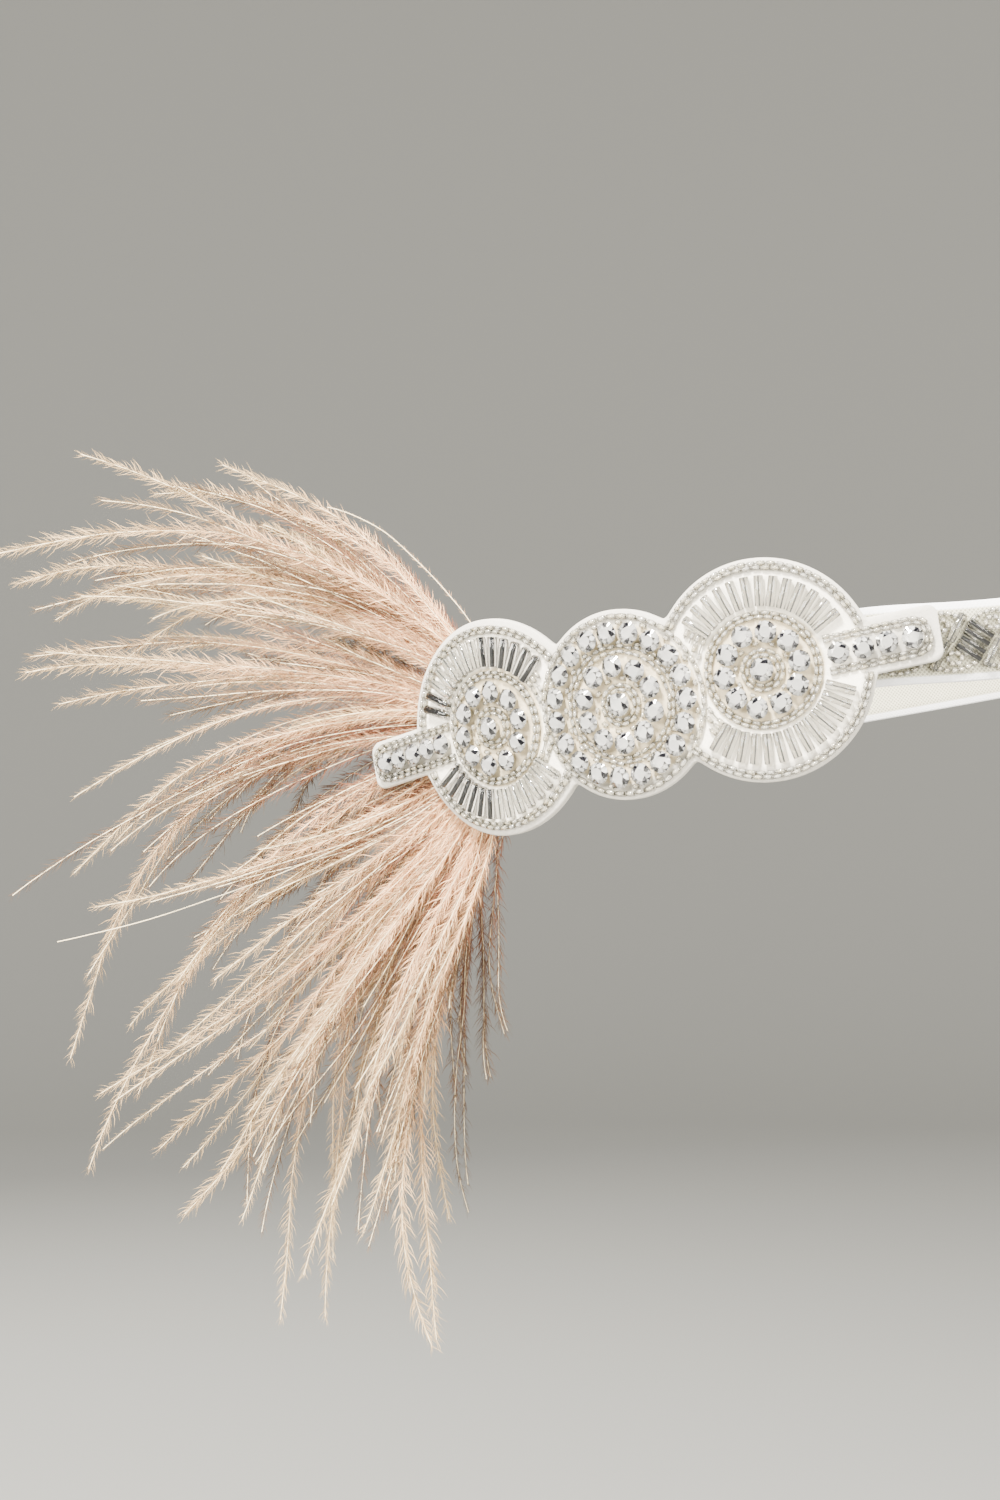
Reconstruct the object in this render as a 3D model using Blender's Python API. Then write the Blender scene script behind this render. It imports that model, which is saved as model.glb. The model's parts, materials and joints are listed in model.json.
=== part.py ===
"""Flapper headband: a beaded loop with three jewelled medallions on felt and a feather plume.

Units are metres and +Z is up. The wearer faces -Y, and the medallions sit on the wearer's right, at -X.
Every piece is laid out on the loop by three lengths: along it from the right ear towards the face, up
from its middle line, and out from the head. An empty then tilts the whole loop, brow side up.
"""

import math
from bisect import bisect_right
from typing import NamedTuple

import bmesh
import bpy
from mathutils import Matrix, Vector

MM = 0.001
GAP = 0.3 * MM
WELD = 0.01 * MM

# Loop on the head
HEAD_HALF_WIDTH = 75.0 * MM
HEAD_HALF_DEPTH = 93.0 * MM
LOOP_TILT = math.radians(10.6)
LOOP_STEPS = 720

# Band and elastic
BAND_START = -72.0 * MM
BAND_END = 285.0 * MM
BAND_WIDTH = 16.0 * MM
BAND_THICKNESS = 1.2 * MM
BAND_STATIONS = 32
RISE_PEAK = 45.0 * MM
RISE_SPREAD = 22.0 * MM
RISE_HEIGHT = 2.8 * MM
RISE_BASE = -0.6 * MM
BEADWORK_START = 20.0 * MM
BEADWORK_WIDTH = 13.4 * MM
BEADWORK_THICKNESS = 2.0 * MM
BEADWORK_SHORT = 2.0 * MM
ELASTIC_WIDTH = 10.0 * MM
ELASTIC_THICKNESS = 1.0 * MM
ELASTIC_OVERLAP = 8.0 * MM
ELASTIC_STEP = 1.0 * MM
ELASTIC_STATIONS = 14
SEAM_STATIONS = 4

# Felt under the medallions
FELT_INNER = 3.9 * MM
FELT_THICKNESS = 1.8 * MM
FELT_TOP = FELT_INNER + FELT_THICKNESS
FELT_NOTCH = 0.9 * MM
FELT_STEPS = 17
FELT_SHORTEST_STEP = 0.3 * MM
DISC_EDGE = 0.9995
TAIL_CORNER = 2.0 * MM
TAIL_CORNER_SHARES = (0.15, 0.5, 1.0)
LEAVE = -33.0 * MM

# Stones in their cups
STONE_SIDES = 8
STONE_HEIGHT = 2.5 * MM
GIRDLE_HEIGHT = 1.6 * MM
CUP_FOOT = 0.82
TABLE_SHARE = 0.55
THREAD_RADIUS = 0.26 * MM
THREAD_HEIGHT = 0.8 * MM
RING_STONE_RADIUS = 2.05 * MM
TAIL_STONE_RADIUS = 2.0 * MM
CENTRE_STONE_RADIUS = 2.25 * MM

# Bugles, and strings of seed beads as tubes
BUGLE_RADIUS = 0.87 * MM
BUGLE_SIDES = 8
BUGLE_LENGTH = 6.1 * MM
BUGLE_MIDDLE = 15.6 * MM
BUGLE_PITCH = math.radians(9.1)
FAN_GAP = math.radians(25.5)
FAN_LONGEST = 15
BEAD_RADIUS = 0.92 * MM
TUBE_STEP = 4.4 * MM

# Medallions
FAN_FELT_RADIUS = 22.3 * MM
OUTER_BEADS = 20.0 * MM
INNER_BEADS = 10.9 * MM
FAN_STONE_RING = 7.55 * MM
FAN_STONES = 10
HEART_BEADS = 3.95 * MM
MIDDLE_FELT_RADIUS = 19.6 * MM
MIDDLE_OUTER_BEADS = 17.1 * MM
MIDDLE_OUTER_RING = 13.85 * MM
MIDDLE_OUTER_STONES = 19
MIDDLE_INNER_RING = 7.5 * MM
MIDDLE_INNER_STONES = 10
FIELD_INNER = 9.9 * MM
FIELD_OUTER = 11.5 * MM
FIELD_THICKNESS = 1.6 * MM
FIELD_SECTIONS = 24

# Tails, measured from their medallion's centre
TAIL_FIRST_STONE = 14.5 * MM
TAIL_STONE_PITCH = 4.3 * MM
TAIL_BEADS_START = 12.9 * MM
TAIL_BEADS_OFFSET = 3.25 * MM
TAIL_ROUNDING = (0.75, 0.85)
TAIL_FELT_MARGIN = 1.5 * MM
TAIL_CLEARANCE = 5.6 * MM

# Plume, in the plane that leaves the head behind the left medallion
PLUME_OUT = 2.25 * MM
PLUME_ROOT = (6.0 * MM, -3.0 * MM)
PAD_RADIUS = 7.0 * MM
PAD_THICKNESS = 1.0 * MM
PAD_SIDES = 16
LOCK_FLATNESS = 0.34
LOCK_ROOT_RADIUS = 1.9 * MM
LOCK_TIP_RADIUS = 0.7 * MM
LOCK_STEPS = 6
LOCK_START = 2.5 * MM
LOCK_LAYER = 0.11 * MM
LOCK_TWIST = 0.37
LOCK_TURN_POWER = 1.2
LOCK_LIFT_POWER = 1.4
LOCK_SWELL_POWER = 0.72
UNDER_FELT = 26.0 * MM
UNDER_TAIL = 43.0 * MM


class Medallion(NamedTuple):
    """A disc of beadwork: its centre along the loop and up, how much narrower than tall the pull of the
    loop makes it, its tail's heading in degrees and the stones on that tail."""

    name: str
    along: float
    up: float
    narrowing: float
    tail: float
    tail_stones: int


LEFT = Medallion("left", -30.2 * MM, -0.4 * MM, 1.0, 185.0, 5)
MIDDLE = Medallion("middle", 0.0, -0.7 * MM, 0.95, 0.0, 0)
RIGHT = Medallion("right", 28.5 * MM, 1.3 * MM, 0.93, 3.0, 4)

# Aim above straight back in degrees, turn over its length in degrees, reach, lift off the plane in
# degrees, half width at its fullest, and the stretch that is covered by felt
LOCKS = (
    (64.0, -40.0, 102.0 * MM, 4.0, 6.0 * MM, UNDER_FELT),
    (50.0, -21.0, 126.0 * MM, 6.0, 9.0 * MM, UNDER_FELT),
    (47.0, -50.0, 140.0 * MM, 9.0, 11.0 * MM, UNDER_FELT),
    (31.0, -22.0, 128.0 * MM, 7.0, 11.5 * MM, UNDER_FELT),
    (17.0, -34.0, 126.0 * MM, 7.0, 11.5 * MM, UNDER_TAIL),
    (12.0, -62.0, 138.0 * MM, 7.0, 11.0 * MM, UNDER_TAIL),
    (-5.0, -40.0, 134.0 * MM, 8.0, 12.0 * MM, UNDER_TAIL),
    (-18.0, -34.0, 134.0 * MM, 9.0, 12.0 * MM, UNDER_TAIL),
    (-31.0, -18.0, 132.0 * MM, 10.0, 12.0 * MM, UNDER_FELT),
    (-41.0, -8.0, 127.0 * MM, 11.0, 11.5 * MM, UNDER_FELT),
    (-37.0, -48.0, 134.0 * MM, 6.0, 10.0 * MM, UNDER_FELT),
    (-56.0, -20.0, 108.0 * MM, 12.0, 9.5 * MM, UNDER_FELT),
    (-51.0, -54.0, 131.0 * MM, 7.0, 8.0 * MM, UNDER_FELT),
)

# Colour, roughness, metallic
FELT = ((0.90, 0.90, 0.92), 0.9, 0.0)
NET = ((0.80, 0.79, 0.77), 0.8, 0.0)
ELASTIC = ((0.86, 0.85, 0.83), 0.8, 0.0)
SILVER = ((0.80, 0.80, 0.82), 0.2, 1.0)
BEAD_GLASS = ((0.82, 0.81, 0.76), 0.15, 0.6)
BUGLE_GLASS = ((0.78, 0.78, 0.80), 0.12, 0.7)
FEATHER = ((0.80, 0.60, 0.53), 0.8, 0.0)


def loop_arcs():
    """Length of the loop's ellipse from the right ear to each of its steps."""
    arcs = [0.0]
    before = Vector((HEAD_HALF_WIDTH, 0.0))
    for step in range(1, LOOP_STEPS + 1):
        angle = math.tau * step / LOOP_STEPS
        here = Vector((HEAD_HALF_WIDTH * math.cos(angle), HEAD_HALF_DEPTH * math.sin(angle)))
        arcs.append(arcs[-1] + (here - before).length)
        before = here
    return arcs


LOOP_ARCS = loop_arcs()
LOOP_LENGTH = LOOP_ARCS[-1]


def loop_axes(along):
    """Foot on the head, outward normal and forward tangent of the loop at a length along it."""
    distance = along % LOOP_LENGTH
    step = min(bisect_right(LOOP_ARCS, distance), LOOP_STEPS) - 1
    share = (distance - LOOP_ARCS[step]) / (LOOP_ARCS[step + 1] - LOOP_ARCS[step])
    angle = math.tau * (step + share) / LOOP_STEPS
    foot = Vector((-HEAD_HALF_WIDTH * math.cos(angle), -HEAD_HALF_DEPTH * math.sin(angle), 0.0))
    normal = Vector((foot.x / HEAD_HALF_WIDTH**2, foot.y / HEAD_HALF_DEPTH**2, 0.0)).normalized()
    return foot, normal, Vector((-normal.y, normal.x, 0.0))


def loop_point(along, up, out):
    """Point on the loop itself, which follows the head all the way round."""
    foot, normal, _ = loop_axes(along)
    return foot + normal * out + Vector((0.0, 0.0, up))


def applique_axes(along):
    """Foot, normal and tangent of the medallions' sheet, which leaves the head where feathers lie under it."""
    foot, normal, tangent = loop_axes(max(along, LEAVE))
    return foot + tangent * min(along - LEAVE, 0.0), normal, tangent


def applique_point(along, up, out):
    """Point on the medallions' sheet."""
    foot, normal, _ = applique_axes(along)
    return foot + normal * out + Vector((0.0, 0.0, up))


def applique_seat(along, up, out, heading):
    """Matrix with X along a heading in the sheet (0 is forwards, a quarter turn is up) and Z out of it."""
    foot, normal, tangent = applique_axes(along)
    place = foot + normal * out + Vector((0.0, 0.0, up))
    aim = tangent * math.cos(heading) + Vector((0.0, 0.0, math.sin(heading)))
    side = normal.cross(aim)
    return Matrix.Translation(place) @ Matrix((aim, side, normal)).transposed().to_4x4()


def rise(along):
    """Height of the band's middle line, which arches a little over the temple."""
    return RISE_BASE + RISE_HEIGHT * math.exp(-(((along - RISE_PEAK) / RISE_SPREAD) ** 2))


def polar(medallion, radius, heading):
    """A place (along, up) at a distance and heading from a medallion's centre, on its narrowed circles."""
    along = medallion.along + medallion.narrowing * radius * math.cos(heading)
    return along, medallion.up + radius * math.sin(heading)


def tail_place(medallion, reach, aside=0.0):
    """A place (along, up) out along a medallion's tail, and aside from its middle line."""
    heading = math.radians(medallion.tail)
    along = medallion.along + reach * math.cos(heading) - aside * math.sin(heading)
    return along, medallion.up + reach * math.sin(heading) + aside * math.cos(heading)


def clear_of_middle(place, margin):
    """Whether a place lies outside the middle medallion's beads by a margin."""
    across = (place[0] - MIDDLE.along) / MIDDLE.narrowing
    return math.hypot(across, place[1] - MIDDLE.up) > MIDDLE_OUTER_BEADS + BEAD_RADIUS + margin


def new_collection(name):
    """A collection of the scene."""
    collection = bpy.data.collections.new(name)
    bpy.context.scene.collection.children.link(collection)
    return collection


def new_finish(name, finish):
    """A Principled material of one colour, roughness and metallic value."""
    colour, roughness, metallic = finish
    material = bpy.data.materials.new(f"{name}_finish")
    material.use_nodes = True
    shader = material.node_tree.nodes["Principled BSDF"]
    shader.inputs["Base Color"].default_value = (*colour, 1.0)
    shader.inputs["Roughness"].default_value = roughness
    shader.inputs["Metallic"].default_value = metallic
    material.diffuse_color = (*colour, 1.0)
    return material


def add_part(name, data, finish):
    """A named piece of the headband, on the tilted empty, with its own material."""
    part = bpy.data.objects.new(name, data)
    PARTS.objects.link(part)
    part.parent = LOOP_FRAME
    data.materials.append(new_finish(name, finish))
    return part


def add_cutter(name, mesh):
    """A hidden helper that a Boolean joins to a part."""
    cutter = bpy.data.objects.new(name, mesh)
    CUTTERS.objects.link(cutter)
    cutter.parent = LOOP_FRAME
    cutter.hide_render = True
    cutter.display_type = "WIRE"
    return cutter


def fuse(part, cutter):
    """Join a cutter to a part, so that both are one body."""
    union = part.modifiers.new("fuse", "BOOLEAN")
    union.operation = "UNION"
    union.solver = "EXACT"
    union.object = cutter


def mesh_from(bm, name):
    """A mesh of a bmesh with its faces turned outwards."""
    bmesh.ops.recalc_face_normals(bm, faces=bm.faces)
    mesh = bpy.data.meshes.new(name)
    bm.to_mesh(mesh)
    bm.free()
    return mesh


def tube_curve(name, points, radius, closed, resolution=1):
    """A tube round a row of points, with filled ends where it isn't closed."""
    curve = bpy.data.curves.new(name, "CURVE")
    curve.dimensions = "3D"
    curve.bevel_depth = radius
    curve.bevel_resolution = resolution
    curve.use_fill_caps = True
    spline = curve.splines.new("POLY")
    spline.points.add(len(points) - 1)
    spline.use_cyclic_u = closed
    for spot, point in zip(spline.points, points):
        spot.co = (*point, 1.0)
    return curve


def tube_mesh(name, curve, matrix=Matrix.Identity(4)):
    """The welded mesh of a tube curve, for a Boolean."""
    guide = bpy.data.objects.new(name, curve)
    CUTTERS.objects.link(guide)
    depsgraph = bpy.context.evaluated_depsgraph_get()
    mesh = bpy.data.meshes.new_from_object(guide.evaluated_get(depsgraph))
    bpy.data.objects.remove(guide)
    bm = bmesh.new()
    bm.from_mesh(mesh)
    bmesh.ops.remove_doubles(bm, verts=bm.verts, dist=WELD)
    bmesh.ops.transform(bm, matrix=matrix, verts=bm.verts)
    bpy.data.meshes.remove(mesh)
    return mesh_from(bm, name)


def ribbon(name, sections):
    """A solid strip lofted through four-cornered sections, closed at both ends."""
    bm = bmesh.new()
    rows = [[bm.verts.new(corner) for corner in section] for section in sections]
    for before, after in zip(rows, rows[1:]):
        for k in range(4):
            bm.faces.new((before[k], before[(k + 1) % 4], after[(k + 1) % 4], after[k]))
    bm.faces.new(rows[0])
    bm.faces.new(rows[-1])
    return mesh_from(bm, name)


def spaced(start, end, count):
    """Evenly spaced lengths from start to end."""
    return [start + (end - start) * k / (count - 1) for k in range(count)]


def strip_sections(stations, width, inner, thickness):
    """Sections of a strip round the loop, where inner gives the distance of its inner face from the head."""
    sections = []
    for along in stations:
        low = rise(along) - width / 2
        high = rise(along) + width / 2
        face = inner(along)
        outer = face + thickness
        corners = ((low, face), (low, outer), (high, outer), (high, face))
        sections.append([loop_point(along, up, out) for up, out in corners])
    return sections


def build_band():
    """The net strip on the head and the beadwork on it."""
    stations = spaced(BAND_START, BAND_END, BAND_STATIONS)
    sections = strip_sections(stations, BAND_WIDTH, lambda along: 0.0, BAND_THICKNESS)
    add_part("band_base", ribbon("band_base", sections), NET)
    stations = spaced(BEADWORK_START, BAND_END - ELASTIC_OVERLAP - BEADWORK_SHORT, BAND_STATIONS)
    sections = strip_sections(stations, BEADWORK_WIDTH, lambda along: BAND_THICKNESS + GAP, BEADWORK_THICKNESS)
    add_part("band_beadwork", ribbon("band_beadwork", sections), BEAD_GLASS)


def build_elastic():
    """The elastic across the back of the head, sewn over both ends of the band."""
    band_start = LOOP_LENGTH + BAND_START
    stations = spaced(BAND_END - ELASTIC_OVERLAP, BAND_END + ELASTIC_STEP, SEAM_STATIONS)
    stations += spaced(BAND_END + ELASTIC_OVERLAP, band_start - ELASTIC_OVERLAP, ELASTIC_STATIONS)
    stations += spaced(band_start - ELASTIC_STEP, band_start + ELASTIC_OVERLAP, SEAM_STATIONS)

    def inner(along):
        past_band = min(along - BAND_END, band_start - along) - ELASTIC_STEP
        share = min(max(1 - past_band / (ELASTIC_OVERLAP - ELASTIC_STEP), 0.0), 1.0)
        return (BAND_THICKNESS + GAP) * share

    sections = strip_sections(stations, ELASTIC_WIDTH, inner, ELASTIC_THICKNESS)
    add_part("back_elastic", ribbon("back_elastic", sections), ELASTIC)


def tail_end(stones):
    """Distance of a tail's last bead from its medallion's centre."""
    return TAIL_FIRST_STONE + (stones - 1) * TAIL_STONE_PITCH + TAIL_BEADS_OFFSET + BEAD_RADIUS


def tail_span(medallion):
    """Start and end along the loop of the felt under a tail."""
    heading = math.radians(medallion.tail)
    reach = medallion.along + math.cos(heading) * (tail_end(medallion.tail_stones) + TAIL_FELT_MARGIN)
    return min(medallion.along, reach), max(medallion.along, reach)


def felt_radius(medallion):
    """Radius of the felt under a medallion, before its narrowing."""
    return MIDDLE_FELT_RADIUS if medallion is MIDDLE else FAN_FELT_RADIUS


def felt_edges(along):
    """Lower and upper edge of the felt at a length along the loop, with softened notches."""
    highs, lows = [], []
    for medallion in (LEFT, MIDDLE, RIGHT):
        across = (along - medallion.along) / (felt_radius(medallion) * medallion.narrowing)
        if abs(across) < 1:
            half = felt_radius(medallion) * math.sqrt(1 - across**2)
            highs.append(medallion.up + half)
            lows.append(medallion.up - half)
    for medallion in (LEFT, RIGHT):
        start, end = tail_span(medallion)
        if start <= along <= end:
            share = min(along - start, end - along, TAIL_CORNER) / TAIL_CORNER
            half = TAIL_BEADS_OFFSET + BEAD_RADIUS + TAIL_FELT_MARGIN
            half -= TAIL_CORNER * (1 - math.sqrt(1 - (1 - share) ** 2))
            line = medallion.up + (along - medallion.along) * math.tan(math.radians(medallion.tail))
            highs.append(line + half)
            lows.append(line - half)
    high = FELT_NOTCH * math.log(sum(math.exp(value / FELT_NOTCH) for value in highs))
    low = -FELT_NOTCH * math.log(sum(math.exp(-value / FELT_NOTCH) for value in lows))
    return low, high


def felt_stations():
    """Lengths along the loop at which the felt's outline is taken, closer where a disc turns quickly."""
    start, end = tail_span(LEFT)[0], tail_span(RIGHT)[1]
    wanted = {start, end}
    for share in TAIL_CORNER_SHARES:
        wanted |= {start + share * TAIL_CORNER, end - share * TAIL_CORNER}
    for medallion in (LEFT, MIDDLE, RIGHT):
        half = felt_radius(medallion) * medallion.narrowing * DISC_EDGE
        for step in range(1, FELT_STEPS):
            wanted.add(medallion.along - half * math.cos(math.pi * step / FELT_STEPS))
    stations = []
    for along in sorted(wanted):
        if start <= along <= end and (not stations or along - stations[-1] > FELT_SHORTEST_STEP):
            stations.append(along)
    return stations


def build_felt():
    """The felt sheet that carries the three medallions and both tails."""
    sections = []
    for along in felt_stations():
        low, high = felt_edges(along)
        corners = ((low, FELT_INNER), (low, FELT_TOP), (high, FELT_TOP), (high, FELT_INNER))
        sections.append([applique_point(along, up, out) for up, out in corners])
    add_part("applique_backing", ribbon("applique_backing", sections), FELT)


def stone_profile(radius):
    """Radius and height down a stone's outer side: table, girdle at the cup's rim, cup's foot."""
    return (
        (radius * TABLE_SHARE, STONE_HEIGHT),
        (radius, GIRDLE_HEIGHT),
        (radius * CUP_FOOT, 0.0),
    )


def stones_mesh(name, seats, radius):
    """One mesh of faceted stones in their cups, turned from the profile, a copy at each seat."""
    bm = bmesh.new()
    for seat in seats:
        rings = []
        for ring_radius, height in stone_profile(radius):
            ring = []
            for side in range(STONE_SIDES):
                angle = math.tau * (side + 0.5) / STONE_SIDES
                spot = Vector((ring_radius * math.cos(angle), ring_radius * math.sin(angle), height))
                ring.append(bm.verts.new(seat @ spot))
            rings.append(ring)
        for upper, lower in zip(rings, rings[1:]):
            for side in range(STONE_SIDES):
                after = (side + 1) % STONE_SIDES
                bm.faces.new((upper[side], lower[side], lower[after], upper[after]))
        bm.faces.new(rings[0])
        bm.faces.new(rings[-1])
    return mesh_from(bm, name)


def build_stones(name, places, radius, closed):
    """A row of stones (along, up) on one thread, which runs through their cups."""
    seats = []
    count = len(places)
    for k, place in enumerate(places):
        before = places[k - 1] if closed or k else place
        after = places[(k + 1) % count] if closed or k < count - 1 else place
        heading = math.atan2(after[1] - before[1], after[0] - before[0])
        seats.append(applique_seat(*place, FELT_TOP + GAP, heading))
    part = add_part(name, stones_mesh(name, seats, radius), SILVER)
    thread = [seat @ Vector((0.0, 0.0, THREAD_HEIGHT)) for seat in seats]
    curve = tube_curve(f"{name}_thread", thread, THREAD_RADIUS, closed, resolution=0)
    fuse(part, add_cutter(f"{name}_thread", tube_mesh(f"{name}_thread", curve)))


def ring_places(medallion, radius, count, first):
    """Places evenly round a medallion, starting at a heading."""
    return [polar(medallion, radius, first + math.tau * k / count) for k in range(count)]


def build_bead_string(name, places, closed, radius=BEAD_RADIUS):
    """A string of seed beads as a tube on the felt."""
    points = [applique_point(*place, FELT_TOP + GAP + radius) for place in places]
    add_part(name, tube_curve(name, points, radius, closed), BEAD_GLASS)


def build_bead_ring(name, medallion, radius):
    """A closed string of seed beads round a medallion."""
    count = round(math.tau * radius / TUBE_STEP) + 3
    build_bead_string(name, ring_places(medallion, radius, count, 0.0), True)


def build_centre_stone(medallion):
    """The single stone in the middle of a medallion."""
    name = f"{medallion.name}_centre_stone"
    seat = applique_seat(medallion.along, medallion.up, FELT_TOP + GAP, 0.0)
    add_part(name, stones_mesh(name, [seat], CENTRE_STONE_RADIUS), SILVER)


def bugle_seat(medallion, heading):
    """Matrix at a bugle's middle, with X along it."""
    place = polar(medallion, BUGLE_MIDDLE, heading)
    aim = math.atan2(math.sin(heading), medallion.narrowing * math.cos(heading))
    return applique_seat(*place, FELT_TOP + GAP + BUGLE_RADIUS, aim)


def build_bugles(name, medallion, headings):
    """A fan of bugles on the thread that runs through their middles."""
    lay_down = Matrix.Rotation(math.pi / 2, 4, "Y")
    seats = [bugle_seat(medallion, heading) for heading in headings]
    bm = bmesh.new()
    for seat in seats:
        bmesh.ops.create_cone(
            bm,
            cap_ends=True,
            segments=BUGLE_SIDES,
            radius1=BUGLE_RADIUS,
            radius2=BUGLE_RADIUS,
            depth=BUGLE_LENGTH,
            matrix=seat @ lay_down,
        )
    part = add_part(name, mesh_from(bm, name), BUGLE_GLASS)
    thread = [seat.translation for seat in seats]
    curve = tube_curve(f"{name}_thread", thread, THREAD_RADIUS, False, resolution=0)
    fuse(part, add_cutter(f"{name}_thread", tube_mesh(f"{name}_thread", curve)))


def fan_headings(medallion, side):
    """Headings of the bugles on one side of the tail, up to the middle medallion."""
    headings = []
    for k in range(FAN_LONGEST):
        heading = math.radians(medallion.tail) + side * (FAN_GAP + k * BUGLE_PITCH)
        ends = [polar(medallion, BUGLE_MIDDLE + end * BUGLE_LENGTH / 2, heading) for end in (-1, 1)]
        if all(clear_of_middle(end, BUGLE_RADIUS + GAP) for end in ends):
            headings.append(heading)
    return headings


def arc_places(medallion, side):
    """Places along the outer beads on one side of the tail, up to the middle medallion."""
    tail = math.radians(medallion.tail)
    angle = math.asin(TAIL_CLEARANCE / OUTER_BEADS)
    step = TUBE_STEP / OUTER_BEADS / 4
    places = []
    while clear_of_middle(polar(medallion, OUTER_BEADS, tail + side * angle), BEAD_RADIUS + GAP):
        places.append(polar(medallion, OUTER_BEADS, tail + side * angle))
        angle += step
    return places[:-3:4] + places[-1:]


def tail_border(medallion):
    """Places along the beads that run out beside the tail's stones, round its end and back."""
    straight = tail_end(medallion.tail_stones) - BEAD_RADIUS - TAIL_BEADS_OFFSET
    outline = [(TAIL_BEADS_START, 1.0), ((TAIL_BEADS_START + straight) / 2, 1.0), (straight, 1.0)]
    out, aside = TAIL_ROUNDING
    outline += [(straight + TAIL_BEADS_OFFSET * out, aside), (straight + TAIL_BEADS_OFFSET, 0.0)]
    outline += [(reach, -side) for reach, side in reversed(outline[:-1])]
    return [tail_place(medallion, reach, side * TAIL_BEADS_OFFSET) for reach, side in outline]


def build_fan_medallion(medallion):
    """A medallion with a fan of bugles above and below its tail."""
    side = medallion.name
    upper = -1 if medallion is LEFT else 1
    for name, turn in (("upper", upper), ("lower", -upper)):
        build_bugles(f"{side}_{name}_bugles", medallion, fan_headings(medallion, turn))
        build_bead_string(f"{side}_{name}_beads", arc_places(medallion, turn), False)
    build_bead_ring(f"{side}_inner_beads", medallion, INNER_BEADS)
    build_bead_ring(f"{side}_heart_beads", medallion, HEART_BEADS)
    places = ring_places(medallion, FAN_STONE_RING, FAN_STONES, math.radians(medallion.tail))
    build_stones(f"{side}_stone_ring", places, RING_STONE_RADIUS, True)
    build_centre_stone(medallion)
    reaches = [TAIL_FIRST_STONE + k * TAIL_STONE_PITCH for k in range(medallion.tail_stones)]
    places = [tail_place(medallion, reach) for reach in reaches]
    build_stones(f"{side}_tail_stones", places, TAIL_STONE_RADIUS, False)
    build_bead_string(f"{side}_tail_beads", tail_border(medallion), False)


def build_middle_medallion():
    """The medallion of two rings of stones with seed beads between them."""
    quarter = math.pi / 2
    places = ring_places(MIDDLE, MIDDLE_OUTER_RING, MIDDLE_OUTER_STONES, quarter)
    build_stones("middle_outer_stones", places, RING_STONE_RADIUS, True)
    places = ring_places(MIDDLE, MIDDLE_INNER_RING, MIDDLE_INNER_STONES, quarter)
    build_stones("middle_inner_stones", places, RING_STONE_RADIUS, True)
    build_centre_stone(MIDDLE)
    build_bead_ring("middle_outer_beads", MIDDLE, MIDDLE_OUTER_BEADS)
    build_bead_ring("middle_heart_beads", MIDDLE, HEART_BEADS)
    sections = []
    low, high = FELT_TOP + GAP, FELT_TOP + GAP + FIELD_THICKNESS
    corners = ((FIELD_INNER, low), (FIELD_OUTER, low), (FIELD_OUTER, high), (FIELD_INNER, high))
    for k in range(FIELD_SECTIONS):
        heading = math.tau * k / FIELD_SECTIONS
        sections.append([applique_point(*polar(MIDDLE, radius, heading), out) for radius, out in corners])
    bm = bmesh.new()
    rows = [[bm.verts.new(corner) for corner in section] for section in sections]
    for before, after in zip(rows, rows[1:] + rows[:1]):
        for k in range(4):
            bm.faces.new((before[k], before[(k + 1) % 4], after[(k + 1) % 4], after[k]))
    add_part("middle_field_beads", mesh_from(bm, "middle_field_beads"), BEAD_GLASS)


def lock_distances(reach, covered):
    """Distances along a lock of the rows of its mesh: three under the felt, the others evenly past it."""
    past = [covered + (reach - covered) * k / LOCK_STEPS for k in range(1, LOCK_STEPS + 1)]
    return [0.0, covered / 2, covered] + past


def lock_points(aim, turn, reach, lift, covered):
    """Centreline of a lock in the plume's plane: X back, Y up, Z out."""
    distances = lock_distances(reach, covered)
    heading = math.radians(aim)
    points = [Vector((-PLUME_ROOT[0], PLUME_ROOT[1], 0.0)) + LOCK_START * unit(heading)]
    for before, distance in zip(distances, distances[1:]):
        share = (before + distance) / (2 * reach)
        points.append(points[-1] + unit(math.radians(aim + turn * share**LOCK_TURN_POWER)) * (distance - before))
    for point, distance in zip(points, distances):
        past = max(distance - covered, 0.0) / (reach - covered)
        point.z = reach * math.sin(math.radians(lift)) * past**LOCK_LIFT_POWER
    return points


def unit(heading):
    """Unit vector in the plume's plane."""
    return Vector((math.cos(heading), math.sin(heading), 0.0))


def lock_radius(distance, reach, fullest, covered):
    """Half width of a lock: thin under the felt, full in the middle, thin again at its tip."""
    share = max(distance - covered, 0.0) / (reach - covered)
    swell = math.sin(math.pi * min(share, 1.0) ** LOCK_SWELL_POWER)
    base = LOCK_ROOT_RADIUS + (LOCK_TIP_RADIUS - LOCK_ROOT_RADIUS) * share
    return base + (fullest - LOCK_ROOT_RADIUS) * max(swell, 0.0)


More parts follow.
